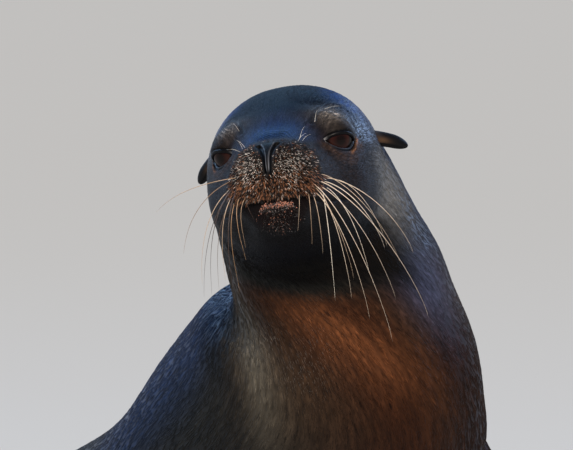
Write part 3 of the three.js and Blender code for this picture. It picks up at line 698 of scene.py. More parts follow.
def bodySurface():
    # closer rings over the face, closer columns through the eyes
    even = np.linspace(0.0, bodyLength, bodyGrid["samples"])
    spacing = 1.05 + 2.2 * ease((even - 108.0) / 110.0) + 9.5 * ease((even - 240.0) / 300.0)
    t = bodyLength * spreadOut(1.0 / spacing, bodyGrid["rows"])
    cap = body["muzzleCap"]
    inCap = t < cap
    count = int(inCap.sum())
    t = np.concatenate([cap * (1.0 - np.cos(np.linspace(0.02, 0.98, count) * math.pi / 2.0)), t[~inCap]])
    rings = bodyGrid["tailRings"]
    rounding = 1.0 - np.sin(np.linspace(0.04, 0.985, rings) * math.pi / 2.0)
    t[-rings:] = bodyLength - body["tailCap"] * rounding
    even = np.linspace(0.0, 1.0, bodyGrid["samples"])
    crowd = 1.0 + 1.3 * bell((even - 0.19) / 0.07) + 1.3 * bell((even - 0.81) / 0.07)
    u = spreadOut(crowd, bodyGrid["columns"] + 1)[:-1]
    t, u = np.meshgrid(t, u, indexing="ij")
    angle = turn * u
    rest = ringPoint(t, angle)
    onHead = t < station["neckTop"]
    h = shapeFace(bodyToHead(rest[onHead]), 0.95)
    rest[onHead] = headToBody(h)
    p = posed(rest, t)
    normal, _ = gridNormals(p)
    relief = np.zeros_like(t)
    far, _, _ = fromLids(h)
    relief[onHead] = faceRelief(h) * ease(far / 2.0)
    p = p + normal * relief[..., None]
    tint, bare, wet, speck = bodyMarksAndPaintedLight(rest, angle, t)
    girth = 80.0
    lie = np.stack([girth * np.cos(angle), girth * np.sin(angle), t], axis=-1) * mm
    return {"points": p, "rest": rest, "t": t, "tint": tint, "bare": bare, "wet": wet, "lie": lie,
            "speck": speck, "island": (0.0, 0.0, 1.0, 0.72), "poles": True}


def limbSurface(kind, side, island):
    limb = flippers[kind]
    rowCount, columns = limb["grid"]
    end = len(limb["rows"]) - 1.0
    t = end * (1.0 - (1.0 - np.linspace(0.0, 1.0, rowCount)) ** 1.25)
    t, u = np.meshgrid(t, np.arange(columns) / columns, indexing="ij")
    p = flipperPoint(limb, side, t, u)
    tint, bare, wet = limbMarks(limb, t, p.shape)
    share = np.abs(4.0 * u - 2.0)
    lie = np.stack([share * 60.0, np.where(u < 0.5, 0.0, 40.0), t * 45.0], axis=-1) * mm
    return {"points": p, "t": t, "tint": tint, "bare": bare, "wet": wet, "lie": lie, "speck": 0.0 * t,
            "island": island, "poles": False, "melt": limb["melt"], "blend": limb["blend"],
            "furTo": limb["furTo"]}


def nearest(points, others):
    # index of the closest of the others, in slices to spare memory
    found = np.zeros(len(points), int)
    size = np.sum(others ** 2, axis=1)
    for start in range(0, len(points), 2000):
        part = points[start:start + 2000]
        found[start:start + 2000] = np.argmin(size[None, :] - 2.0 * part @ others.T, axis=1)
    return found


def meltRise(own, ownNormal, other, otherNormal, reach):
    # height of a smooth join over each own point: (1 - |s - d| / reach)^2 reach / 4, solved by steps,
    # and whether the point stands clear of the other surface
    hit = nearest(own, other)
    apart = own - other[hit]
    d = dot(apart, otherNormal[hit])
    aside = np.linalg.norm(apart - d[:, None] * otherNormal[hit], axis=1)
    clear = np.where(aside > 6.0, 1.0, ease((d - 0.5) / 1.5))
    beyond = ease((aside - 3.0) / 9.0)
    d = d * (1.0 - beyond) + (np.abs(d) + aside) * beyond
    cosine = dot(ownNormal, otherNormal[hit])
    rise = np.zeros(len(own))
    for _ in range(8):
        rise = np.maximum(0.0, 1.0 - np.abs(rise - (d + rise * cosine)) / reach) ** 2 * reach / 4.0
    return rise, clear


def evened(field, rounds):
    # each value shared with its neighbours along and round, several times over
    for _ in range(rounds):
        along = np.pad(field, ((1, 1), (0, 0)), mode="edge")
        beside = np.roll(field, 1, axis=1) + np.roll(field, -1, axis=1)
        field = (2.0 * field + along[:-2] + along[2:] + beside) / 6.0
    return field


def meltTogether(trunk, limbs):
    trunkNormal, _ = gridNormals(trunk["points"])
    lift = np.zeros(trunk["points"].shape[:2])
    trunk["clear"] = np.ones_like(lift)
    for limb in limbs:
        limbNormal, _ = gridNormals(limb["points"])
        own, ownNormal = limb["points"].reshape(-1, 3), limbNormal.reshape(-1, 3)
        reach = limb["melt"]
        low, high = own.min(axis=0) - reach, own.max(axis=0) + reach
        near = np.all((trunk["points"] > low) & (trunk["points"] < high), axis=-1) & (trunk["t"] > 300.0)
        rise, clear = meltRise(trunk["points"][near], trunkNormal[near], own, ownNormal, reach)
        lift[near] = np.maximum(lift[near], rise)
        trunk["clear"][near] = np.minimum(trunk["clear"][near], clear)
        away, clear = meltRise(own, ownNormal, trunk["points"][near], trunkNormal[near], reach)
        limb["clear"] = clear.reshape(limb["t"].shape)
        hit = nearest(own, trunk["points"][near])
        apart = np.linalg.norm(own - trunk["points"][near][hit], axis=1)
        blend = ease(1.15 - apart / limb["blend"]).reshape(limb["t"].shape)
        for key in ("tint", "wet"):
            there = trunk[key][near][hit].reshape(limb[key].shape)
            share = blend[..., None] if there.ndim == 3 else blend
            limb[key] = limb[key] * (1.0 - share) + there * share
        away = evened(away.reshape(limb["t"].shape), 3)
        limb["points"] = limb["points"] + limbNormal * away[..., None]
    trunk["points"] = trunk["points"] + trunkNormal * evened(lift, 6)[..., None]


bodySkin = bodySurface()
limbSkins = [limbSurface(kind, side, (0.25 * n, 0.745, 0.25 * n + 0.24, 0.99))
             for n, (kind, side) in enumerate([("fore", 1), ("fore", -1), ("hind", 1), ("hind", -1)])]
meltTogether(bodySkin, limbSkins)
skins = [bodySkin, *limbSkins]
for surface in skins:
    surface["points"] = toModel(surface["points"])
    surface["normal"], surface["along"] = gridNormals(surface["points"])
print("skin grids ready")


# ---- meshes from arrays

def makeMesh(name, points, corners, sizes, material, attributes=None, uv=None, smooth=True):
    # corners lists the point of every face corner in turn; sizes gives how many each face has
    mesh = bpy.data.meshes.new(name)
    mesh.vertices.add(len(points))
    mesh.vertices.foreach_set("co", np.ascontiguousarray(points, dtype=np.float32).ravel())
    mesh.loops.add(len(corners))
    mesh.loops.foreach_set("vertex_index", np.ascontiguousarray(corners, dtype=np.int32))
    mesh.polygons.add(len(sizes))
    starts = np.concatenate([[0], np.cumsum(sizes)[:-1]]).astype(np.int32)
    mesh.polygons.foreach_set("loop_start", starts)
    mesh.polygons.foreach_set("use_smooth", np.full(len(sizes), smooth))
    mesh.update(calc_edges=True)
    for key, values in (attributes or {}).items():
        kinds = {1: ("FLOAT", "value"), 3: ("FLOAT_VECTOR", "vector"), 4: ("FLOAT_COLOR", "color")}
        kind, field = kinds[1 if values.ndim == 1 else values.shape[1]]
        layer = mesh.attributes.new(key, kind, "POINT")
        layer.data.foreach_set(field, np.ascontiguousarray(values, dtype=np.float32).ravel())
    if uv is not None:
        layer = mesh.uv_layers.new(name="OFBake")
        layer.data.foreach_set("uv", np.ascontiguousarray(uv, dtype=np.float32).ravel())
    mesh.materials.append(material)
    piece = bpy.data.objects.new(name, mesh)
    bpy.context.scene.collection.objects.link(piece)
    return piece


def withAlpha(tint):
    return np.concatenate([tint, np.ones((len(tint), 1))], axis=1)


def gridFaces(rows, columns):
    # corners of the quads of a grid closed round its columns, with each corner's place in u and v
    i, j = np.meshgrid(np.arange(rows - 1), np.arange(columns), indexing="ij")
    row = np.stack([i, i, i + 1, i + 1], axis=-1)
    column = np.stack([j, j + 1, j + 1, j], axis=-1)
    place = np.stack([row, column], axis=-1).reshape(-1, 2)
    return place[:, 0] * columns + place[:, 1] % columns, place


def placeOnUnwrap(surface, row, column):
    u0, v0, u1, v1 = surface["island"]
    rows, columns = surface["points"].shape[:2]
    return np.stack([u0 + (u1 - u0) * column / columns, v0 + (v1 - v0) * row / (rows - 1)], axis=-1)


def wovenGrid(surface):
    # the points, faces and unwrap of one grid surface, its ends closed by poles or by pairing
    rows, columns = surface["points"].shape[:2]
    points = surface["points"].reshape(-1, 3)
    corners, place = gridFaces(rows, columns)
    sizes = np.full(len(corners) // 4, 4)
    uv = placeOnUnwrap(surface, place[:, 0], place[:, 1])
    painted = [key for key in ("tint", "bare", "wet", "lie", "offAxis", "fibre") if key in surface]
    tables = {key: surface[key].reshape(len(points), -1) for key in painted}
    if surface["poles"]:
        ends = np.stack([surface["points"][0].mean(axis=0), surface["points"][-1].mean(axis=0)])
        points = np.concatenate([points, ends])
        tables = {key: np.concatenate([table, table[[0, -1]]]) for key, table in tables.items()}
        j = np.arange(columns)
        first = np.stack([np.full(columns, len(points) - 2), (j + 1) % columns, j], axis=-1)
        base = (rows - 1) * columns
        last = np.stack([np.full(columns, len(points) - 1), base + j, base + (j + 1) % columns], axis=-1)
        corners = np.concatenate([corners, first.ravel(), last.ravel()])
        sizes = np.concatenate([sizes, np.full(2 * columns, 3)])
        u0, v0, u1, v1 = surface["island"]
        span = (u1 - u0) / columns
        nearEnd = np.stack([np.stack([(j + 0.5), j + 1.0, j + 0.0], axis=-1),
                            np.stack([(j + 0.5), j + 0.0, j + 1.0], axis=-1)]) * span + u0
        level = np.array([v0, v1])[:, None, None] + nearEnd * 0.0
        uv = np.concatenate([uv, np.stack([nearEnd, level], axis=-1).reshape(-1, 2)])
    else:
        mirror = (columns - np.arange(columns)) % columns
        twin = np.arange(len(points))
        for row in (0, rows - 1):
            pair = row * columns + np.arange(columns)
            twin[pair] = np.minimum(pair, row * columns + mirror)
        corners = twin[corners]
    return points, corners, sizes, uv, tables


def coatAttributes(tables):
    return {"tint": withAlpha(tables["tint"]), "bare": tables["bare"].ravel(),
            "wet": tables["wet"].ravel(), "lie": tables["lie"]}


# ---- finishes: shared node groups first

def newGroup(name, inputs, outputs):
    group = bpy.data.node_groups.new(name, "ShaderNodeTree")
    for label, kind, value in inputs:
        socket = group.interface.new_socket(label, in_out="INPUT", socket_type=kind)
        if value is not None:
            socket.default_value = value
    for label, kind in outputs:
        group.interface.new_socket(label, in_out="OUTPUT", socket_type=kind)
    return group, group.nodes.new("NodeGroupInput"), group.nodes.new("NodeGroupOutput")


def add(tree, kind, sockets=None, **settings):
    node = tree.nodes.new(kind)
    for key, value in settings.items():
        setattr(node, key, value)
    for key, value in (sockets or {}).items():
        if isinstance(value, bpy.types.NodeSocket):
            tree.links.new(value, node.inputs[key])
        else:
            node.inputs[key].default_value = value
    return node


def calc(tree, operation, *values):
    return add(tree, "ShaderNodeMath", dict(enumerate(values)), operation=operation).outputs[0]


def between(tree, share, a, b):
    return add(tree, "ShaderNodeMix", {0: share, 2: a, 3: b}).outputs[0]


def noise(tree, place, scale, **more):
    return add(tree, "ShaderNodeTexNoise", {"Vector": place, "Scale": scale, **more}).outputs["Fac"]


def join(tree, node, **sockets):
    # each output to the node's input of that name
    for key, socket in sockets.items():
        tree.links.new(socket, node.inputs[key.replace("_", " ")])


def makeStreaks():
    # hair lying along the body: noise drawn out down the lie, fine strands over broader locks
    group, given, result = newGroup(
        "hairStreaks",
        [("Lie", "NodeSocketVector", None), ("Strands", "NodeSocketFloat", 700.0),
         ("Stretch", "NodeSocketFloat", 0.07)],
        [("Height", "NodeSocketFloat"), ("Tone", "NodeSocketFloat")])
    lie, strands = given.outputs["Lie"], given.outputs["Strands"]
    drawn = add(group, "ShaderNodeCombineXYZ", {0: 1.0, 1: 1.0, 2: given.outputs["Stretch"]})
    long = add(group, "ShaderNodeVectorMath", {0: lie, 1: drawn.outputs[0]}, operation="MULTIPLY").outputs[0]
    fine = noise(group, long, strands, Detail=3.0, Roughness=0.6)
    lock = noise(group, long, calc(group, "MULTIPLY", strands, 0.22), Detail=2.0, Distortion=0.3)
    join(group, result, Height=between(group, 0.4, fine, lock), Tone=lock)
    return group


def makePebble():
    # small rounded grains of bare hide, from the cells' distance
    group, given, result = newGroup(
        "bareHide", [("Place", "NodeSocketVector", None), ("Grains", "NodeSocketFloat", 600.0)],
        [("Height", "NodeSocketFloat"), ("Tone", "NodeSocketFloat")])
    place = given.outputs["Place"]
    cells = add(group, "ShaderNodeTexVoronoi", {"Vector": place, "Scale": given.outputs["Grains"]})
    creased = noise(group, place, 90.0, Detail=4.0)
    dome = calc(group, "SUBTRACT", 1.0, cells.outputs["Distance"])
    join(group, result, Height=between(group, 0.5, dome, creased), Tone=creased)
    return group


def makeShadeBy():
    # darkens and lightens a colour by a 0..1 tone about its middle
    group, given, result = newGroup(
        "shadeByTone",
        [("Color", "NodeSocketColor", None), ("Tone", "NodeSocketFloat", 0.5),
         ("Amount", "NodeSocketFloat", 0.5)],
        [("Color", "NodeSocketColor")])
    off = calc(group, "SUBTRACT", given.outputs["Tone"], 0.5)
    much = calc(group, "MULTIPLY_ADD", off, given.outputs["Amount"], 1.0)
    scaled = add(group, "ShaderNodeVectorMath", {0: given.outputs["Color"], "Scale": much}, operation="SCALE")
    join(group, result, Color=scaled.outputs[0])
    return group


streaks = makeStreaks()
pebble = makePebble()
shadeBy = makeShadeBy()


def newMaterial(name, **fixed):
    material = bpy.data.materials.new(name)
    material.use_nodes = True
    tree = material.node_tree
    shader = tree.nodes["Principled BSDF"]
    for key, value in fixed.items():
        shader.inputs[key.replace("_", " ")].default_value = value
    return material, tree, shader


def useGroup(tree, group, sockets):
    return add(tree, "ShaderNodeGroup", sockets, node_tree=group)


def attribute(tree, name):
    return add(tree, "ShaderNodeAttribute", attribute_name=name)


def objectPlace(tree):
    return add(tree, "ShaderNodeTexCoord").outputs["Object"]


def vary(tree, shader, tint, tone, amount, rough=None, spread=0.25):
    # the colour follows the tone, and where asked the roughness does too
    shaded = useGroup(tree, shadeBy, {"Color": tint, "Tone": tone, "Amount": amount})
    join(tree, shader, Base_Color=shaded.outputs["Color"])
    if rough is not None:
        join(tree, shader, Roughness=calc(tree, "MULTIPLY_ADD", tone, spread, rough))


wetHair = {"IOR": 1.45, "Specular_IOR_Level": 0.08, "Sheen_Weight": 0.05, "Sheen_Roughness": 0.40,
           "Sheen_Tint": (0.40, 0.62, 1.0, 1.0)}


def coatMaterial():
    # wet fur over the skin, turning into bare hide where the attribute says so
    finish = {"furRough": 0.46, "bareRough": 0.36, "bumpDepth": 0.0009}
    material, tree, shader = newMaterial("wetCoat", Coat_Roughness=0.30, **wetHair)
    tint, bare, wet, lie = (attribute(tree, n) for n in ("tint", "bare", "wet", "lie"))
    hair = useGroup(tree, streaks, {"Lie": lie.outputs["Vector"], "Strands": 900.0, "Stretch": 0.07})
    hide = useGroup(tree, pebble, {"Place": objectPlace(tree), "Grains": 700.0})
    mask = bare.outputs["Fac"]
    height, tone = (between(tree, mask, hair.outputs[key], hide.outputs[key]) for key in ("Height", "Tone"))
    rough = between(tree, mask, finish["furRough"], finish["bareRough"])
    vary(tree, shader, tint.outputs["Color"], tone, 1.3, rough)
    bumped = add(tree, "ShaderNodeBump",
                 {"Height": height, "Strength": 0.55, "Distance": finish["bumpDepth"]})
    join(tree, shader, Normal=bumped.outputs["Normal"], Coat_Weight=wet.outputs["Fac"])
    return material


def tuftMaterial():
    # the same wet hair on the locks themselves
    material, tree, shader = newMaterial("wetLocks", Coat_Roughness=0.42, **wetHair)
    tint, wet = attribute(tree, "tint"), attribute(tree, "wet")
    grain = noise(tree, objectPlace(tree), 260.0, Detail=2.0)
    vary(tree, shader, tint.outputs["Color"], grain, 0.8, 0.33)
    join(tree, shader, Coat_Weight=wet.outputs["Fac"])
    return material


def eyeMaterial():
    # dark reddish iris round a black pupil, under a clear wet surface
    material, tree, shader = newMaterial("eyeball", IOR=1.40, Coat_Weight=0.30, Coat_Roughness=0.02,
                                         Roughness=0.4, Specular_IOR_Level=0.0)
    off, fibre = attribute(tree, "offAxis"), attribute(tree, "fibre")
    ramp = add(tree, "ShaderNodeValToRGB", {0: off.outputs["Fac"]})
    stops = [(0.0, (14, 7, 6)), (0.28, (17, 8, 7)), (0.46, (34, 15, 12)), (0.70, (45, 21, 16)),
             (0.88, (24, 11, 9)), (0.95, (7, 5, 5)), (1.0, (18, 15, 15))]
    ramp.color_ramp.elements.remove(ramp.color_ramp.elements[1])
    for place, shade in stops[1:]:
        ramp.color_ramp.elements.new(place)
    for element, (place, shade) in zip(ramp.color_ramp.elements, stops):
        element.position = place
        element.color = (*colour(*shade), 1.0)
    strands = noise(tree, fibre.outputs["Vector"], 5.0, Detail=3.0)
    vary(tree, shader, ramp.outputs["Color"], strands, 1.4)
    return material


def hairMaterial(name, rough):
    # stiff hair with its own colour from root to tip in the attribute
    material, tree, shader = newMaterial(name, IOR=1.5)
    grain = noise(tree, objectPlace(tree), 180.0, Detail=2.0)
    vary(tree, shader, attribute(tree, "tint").outputs["Color"], grain, 0.5, rough, 0.2)
    return material


def bareMaterial(name, shade, rough, grains):
    # plain dark hide or horn with a fine grain
    material, tree, shader = newMaterial(name, IOR=1.45, Coat_Weight=0.4, Coat_Roughness=0.2)
    hide = useGroup(tree, pebble, {"Place": objectPlace(tree), "Grains": grains})
    vary(tree, shader, (*colour(*shade), 1.0), hide.outputs["Tone"], 1.2, rough, 0.2)
    bumped = add(tree, "ShaderNodeBump",
                 {"Height": hide.outputs["Height"], "Strength": 0.4, "Distance": 0.0004})
    join(tree, shader, Normal=bumped.outputs["Normal"])
    return material


wetCoat = coatMaterial()
wetLocks = tuftMaterial()
eyeGloss = eyeMaterial()
whiskerHorn = hairMaterial("whiskerHorn", 0.30)
bristleHair = hairMaterial("bristleHair", 0.45)
clawHorn = bareMaterial("clawHorn", (48, 42, 38), 0.25, 500.0)


def own(piece, slotName, *nodes):
    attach(piece, "root")
    if nodes:
        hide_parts(*nodes)
    return piece


# ---- the skin

def makeSkin():
    parts = [wovenGrid(surface) for surface in skins]
    offset = np.cumsum([0] + [len(part[0]) for part in parts])
    points = np.concatenate([part[0] for part in parts])
    corners = np.concatenate([part[1] + start for part, start in zip(parts, offset)])
    sizes = np.concatenate([part[2] for part in parts])
    uv = np.concatenate([part[3] for part in parts])
    tables = {key: np.concatenate([part[4][key] for part in parts]) for key in ("tint", "bare", "wet", "lie")}
    piece = makeMesh("skin", points, corners, sizes, wetCoat, coatAttributes(tables), uv)
    flesh = ["head", "lower_jaw", "nose", "neck", "chest", "trunk", "pelvis", "tail"]
    limbs = [f"{kind}_flipper_{side}" for kind in ("fore", "hind") for side in ("left", "right")]
    return own(piece, "coat", *flesh, *limbs)


makeSkin()
print("skin made")


# ---- eyes

gaze = {"outward": math.radians(36.7), "down": math.radians(14.0), "iris": 13.5, "bulge": 0.7}
lidRoll = {
    "steps": 60,            # along each lid
    "around": 10,
    "over": 0.75,           # the roll's middle over the ball
    "thick": (1.8, 0.95),   # its radius on the upper and on the lower lid
    "wet": (0.15, 0.35),
}


def makeEye(side, name):
    # rings about the line of sight; the clear front bulges a little over the iris
    ahead = np.array([side * math.sin(gaze["outward"]) * math.cos(gaze["down"]),
                      -math.cos(gaze["outward"]) * math.cos(gaze["down"]), -math.sin(gaze["down"])])
    across = unit(np.cross(ahead, np.array([0.0, 0.0, 1.0])))
    upward = np.cross(across, ahead)
    rows, columns = 72, 72
    tilt = math.pi * np.linspace(0.004, 0.996, rows) ** 1.3
    tilt, around = np.meshgrid(tilt, turn * np.arange(columns) / columns, indexing="ij")
    radius = eye["radius"] - 0.15
    offAxis = radius * tilt
    rise = gaze["bulge"] * bell(offAxis / (gaze["iris"] * 0.8))
    ring = (radius + rise)[..., None]
    spot = (np.sin(tilt) * np.cos(around))[..., None] * across
    spot = spot + (np.sin(tilt) * np.sin(around))[..., None] * upward
    centre = eye["centre"] * np.array([side, 1.0, 1.0])
    h = centre + ring * (spot + np.cos(tilt)[..., None] * ahead)
    points = toModel(headPosed(h))
    fibre = np.stack([6.0 * np.cos(around), 6.0 * np.sin(around), offAxis * 0.08], axis=-1)
    surface = {"points": points, "poles": True, "island": wholeSheet,
               "offAxis": np.clip(offAxis / gaze["iris"], 0.0, 1.0), "fibre": fibre}
    points, corners, sizes, uv, tables = wovenGrid(surface)
    attributes = {"offAxis": tables["offAxis"].ravel(), "fibre": tables["fibre"]}
    piece = makeMesh("eyeball_" + name, points, corners, sizes, eyeGloss, attributes, uv)
    return own(piece, "eye", "eye_" + name)


def tubeAlong(path, radius, sides):
    # closed tubes along many paths at once: path (n, k, 3), radius (n, k); the last point is the tip
    along = unit(np.gradient(path, axis=1))
    aside = unit(np.cross(along, np.array([0.31, 0.22, 0.93])))
    over = np.cross(aside, along)
    n, k = path.shape[:2]
    angle = turn * np.arange(sides) / sides
    ring = np.cos(angle)[:, None] * aside[:, :-1, None] + np.sin(angle)[:, None] * over[:, :-1, None]
    rings = path[:, :-1, None] + ring * radius[:, :-1, None, None]
    each = (k - 1) * sides + 1
    points = np.concatenate([rings.reshape(n, -1, 3), path[:, -1:]], axis=1).reshape(-1, 3)
    i, j = np.meshgrid(np.arange(k - 2), np.arange(sides), indexing="ij")
    jn = (j + 1) % sides
    quads = np.stack([i * sides + j, i * sides + jn, (i + 1) * sides + jn, (i + 1) * sides + j], axis=-1)
    j = np.arange(sides)
    last = (k - 2) * sides
    tips = np.stack([last + j, last + (j + 1) % sides, np.full(sides, each - 1)], axis=-1)
    one = np.concatenate([quads[..., ::-1].ravel(), tips[:, ::-1].ravel(), j])
    corners = (one[None, :] + each * np.arange(n)[:, None]).ravel()
    sizes = np.tile(np.concatenate([np.full(quads.size // 4, 4), np.full(sides, 3), [sides]]), n)
    return points, corners, sizes, each


def makeLidRim(side, name):
    # a wet roll along both lid edges, on the ball: out along the upper lid and back along the lower
    count, around = lidRoll["steps"], lidRoll["around"]
    mirror = np.array([side, 1.0, 1.0])
    s = -np.cos(math.pi * (np.arange(count) + 0.5) / count)
    a = eye["halfLength"] * np.concatenate([s, s[::-1]])
    onUpper = np.arange(2 * count) < count
    b = np.where(onUpper, *lidEdges(a))
    radius = eye["radius"] + lidRoll["over"]
    ahead = np.sqrt(radius ** 2 - a ** 2 - b ** 2)
    h = a[:, None] * eyeAcross + ahead[:, None] * eyeAhead + b[:, None] * np.array([0.0, 0.0, 1.0])
    path = (eye["centre"] + h) * mirror
    along = unit(np.roll(path, -1, axis=0) - np.roll(path, 1, axis=0))
    out = unit(path - eye["centre"] * mirror)
    aside = np.cross(along, out)
    thick = np.where(onUpper, *lidRoll["thick"])[:, None, None]
    angle = turn * np.arange(around)[:, None] / around
    ring = np.cos(angle) * aside[:, None] + np.sin(angle) * out[:, None]
    points = toModel(headPosed(path[:, None] + thick * ring)).reshape(-1, 3)
    # the faces run on from the last ring to the first
    corners, place = gridFaces(2 * count + 1, around)
    corners = corners % len(points)
    uv = place / np.array([2.0 * count, around])
    # the upper lid's edge is black; the lower one's dark rim carries a painted blue-grey reflection
    tint = np.where(onUpper[:, None], shades["lidBlack"], shades["lowerLidDarkAndSky"])
    # painted glint at the inner corner
    tint = mixed(tint, shades["eyeCornerGlint"], bell((a + eye["halfLength"]) / 2.0) * 0.8)
    tint = np.repeat(tint, around, axis=0)
    wet = np.repeat(np.where(onUpper, *lidRoll["wet"]), around)
    attributes = {"tint": withAlpha(tint), "bare": np.ones(len(tint)), "wet": wet, "lie": tint * 0.0}
    piece = makeMesh("lid_edge_" + name, points, corners[::-1], np.full(len(corners) // 4, 4), wetCoat,
                     attributes, uv[::-1])
    return own(piece, "coat")


sides = {"left": 1, "right": -1}
for name, side in sides.items():
    makeEye(side, name)
    makeLidRim(side, name)
print("eyes made")


# ---- ears

ear = {
    "seat": np.array([80.0, 78.0, 8.0]),
    "width": 12.0,
    "thickness": 17.0,
    "inset": 0.3,
    "sunk": 0.3,
    "taper": 0.2,
    "roundFrom": 0.55,
    "bend": 7.0,
    "left": (35.0, (0.84, 0.50, -0.08)),        # length and heading
    "right": (27.0, (0.80, 0.46, -0.38)),
}


def makeEar(side, name):
    # a rolled, bent cone with a round tip and a deep furrow along its underside
    length, heading = ear[name]
    out = unit(np.array(heading))
    down = unit(np.array([0.0, 0.0, -1.0]) + out * out[2])
    across = np.cross(out, down)
    rows, columns = 60, 64
    v, u = np.meshgrid(np.linspace(0.004, 1.0, rows) ** 0.8, np.arange(columns) / columns, indexing="ij")
    angle = turn * u
    along = v * (1.0 + ear["sunk"]) - ear["sunk"]
    tip = np.clip((along - ear["roundFrom"]) / (1.0 - ear["roundFrom"]), 0.0, 1.0)
    width = np.sqrt(1.0 - tip ** 2) * (1.0 - ear["taper"] * v)
    close = np.minimum(1.0, v * 12.0) * np.maximum(width, 0.02)
    fold = bell((angle - math.pi / 2.0 - 0.30) / 0.36) * np.minimum(1.0, v * 3.0)
    furrow = 1.0 - 0.66 * fold
    p = ear["seat"] + out * (length * along)[..., None]
    deep = np.sin(angle) * (ear["thickness"] / 2.0 - ear["inset"]) * furrow * close + ear["bend"] * v * v
    wide = np.cos(angle) * (ear["width"] / 2.0 - ear["inset"]) * close
    p = (p + down * deep[..., None] + across * wide[..., None]) * np.array([side, 1.0, 1.0])
    tint = np.broadcast_to(shades["lidBlack"] * 1.5, p.shape).copy()
    tint = mixed(tint, shades["earBack"], ease((0.5 - v) / 0.4) * ease(-np.sin(angle) + 0.4))
    tint = mixed(tint, shades["earTan"], bell((angle - 2.85) / 0.42, (v - 0.36) / 0.17) * 0.85)
    tint = mixed(tint, shades["faceBrown"] * 2.5, ease((0.30 - v) / 0.2) * ease(-np.cos(angle)) * 0.8)
    lie = np.stack([6.0 * np.cos(angle), 6.0 * np.sin(angle), v * 45.0], axis=-1) * mm
    surface = {"points": toModel(headPosed(p)), "poles": True, "island": wholeSheet,
               "tint": tint, "bare": 0.0 * v, "wet": 0.0 * v + 0.2, "lie": lie}
    points, corners, sizes, uv, tables = wovenGrid(surface)
    if side > 0:
        corners, sizes, uv = corners[::-1], sizes[::-1], uv[::-1]
    piece = makeMesh("earflap_" + name, points, corners, sizes, wetCoat, coatAttributes(tables), uv)
    return own(piece, "coat", "ear_" + name)


for name, side in sides.items():
    makeEar(side, name)
print("ears made")


# ---- the coat: flat locks over the skin, and the stiff hairs of the face

coat = {
    "locks": 136000,
    "points": 7,              # three at a lock's root, three at its middle, and its tip
    "shortest": 2.7,          # a lock's length on the face, in millimetres
    "longer": [(60.0, 90.0, 1.6), (170.0, 150.0, 3.2), (400.0, 200.0, 3.0)],   # from t, over, by
    "onLimbs": 7.0,
    "widthShare": 0.16,       # of a lock's length
    "lift": (0.01, 0.07),     # the tip's height over the skin, as a share of the length
    "wander": 0.11,           # how far a lock strays sideways, as a share of its length
    "sunk": 0.35,
    "tones": (0.21, 0.65),    # how much the locks differ in tone, on plain and on speckled fur
    "patch": 0.0028,          # how wide each lock is on the unwrap
    "pieces": ["face", "head", "neck", "chest", "shoulders", "barrel", "loin", "rump"],
}


def readGrid(field, row, column):
    # the field between its grid points, straight across; the columns run round
    rows, columns = field.shape[:2]
    row = np.clip(row, 0.0, rows - 1.001)
    i, j = row.astype(int), np.floor(column).astype(int)
    f, g = row - i, column - j
    if field.ndim == 3:
        f, g = f[:, None], g[:, None]
    j0, j1 = j % columns, (j + 1) % columns
    near = field[i, j0] * (1.0 - g) + field[i, j1] * g
    return near * (1.0 - f) + (field[i + 1, j0] * (1.0 - g) + field[i + 1, j1] * g) * f


def cellAreas(p):
    across = (np.roll(p, -1, axis=1) - p)[:-1]
    return np.linalg.norm(np.cross(np.diff(p, axis=0), across), axis=-1)


def scatter(surface, weight, count):
    # chance places on a grid, as many to each cell as its area times its weight asks
    area = cellAreas(surface["points"]) * weight[:-1]
    share = area.ravel() / area.sum()
    cell = dice.choice(len(share), size=count, p=share)
    columns = surface["points"].shape[1]
    return cell // columns + dice.random(count), cell % columns + dice.random(count)


def lockLength(surface):
    # in millimetres: shortest on the face and round the eyes, longest on the trunk
    t = surface["t"]
    if not surface["poles"]:
        return coat["onLimbs"] + 0.0 * t, (t < surface["furTo"] + 0.6) * surface["clear"]
    h = bodyToHead(surface["rest"])
    far, _, _ = fromLids(h)
    length = np.full(t.shape, coat["shortest"])
    for start, over, more in coat["longer"]:
        length = length + more * ease((t - start) / over)
    length = length * (0.62 + 0.38 * ease((far - 2.0) / 16.0))
    furred = ease((0.6 - surface["bare"]) / 0.3) * (far > 2.0) * (slitMask(h) < 0.1)
    return length, furred * surface["clear"] * (surface["points"][..., 2] > 0.004)


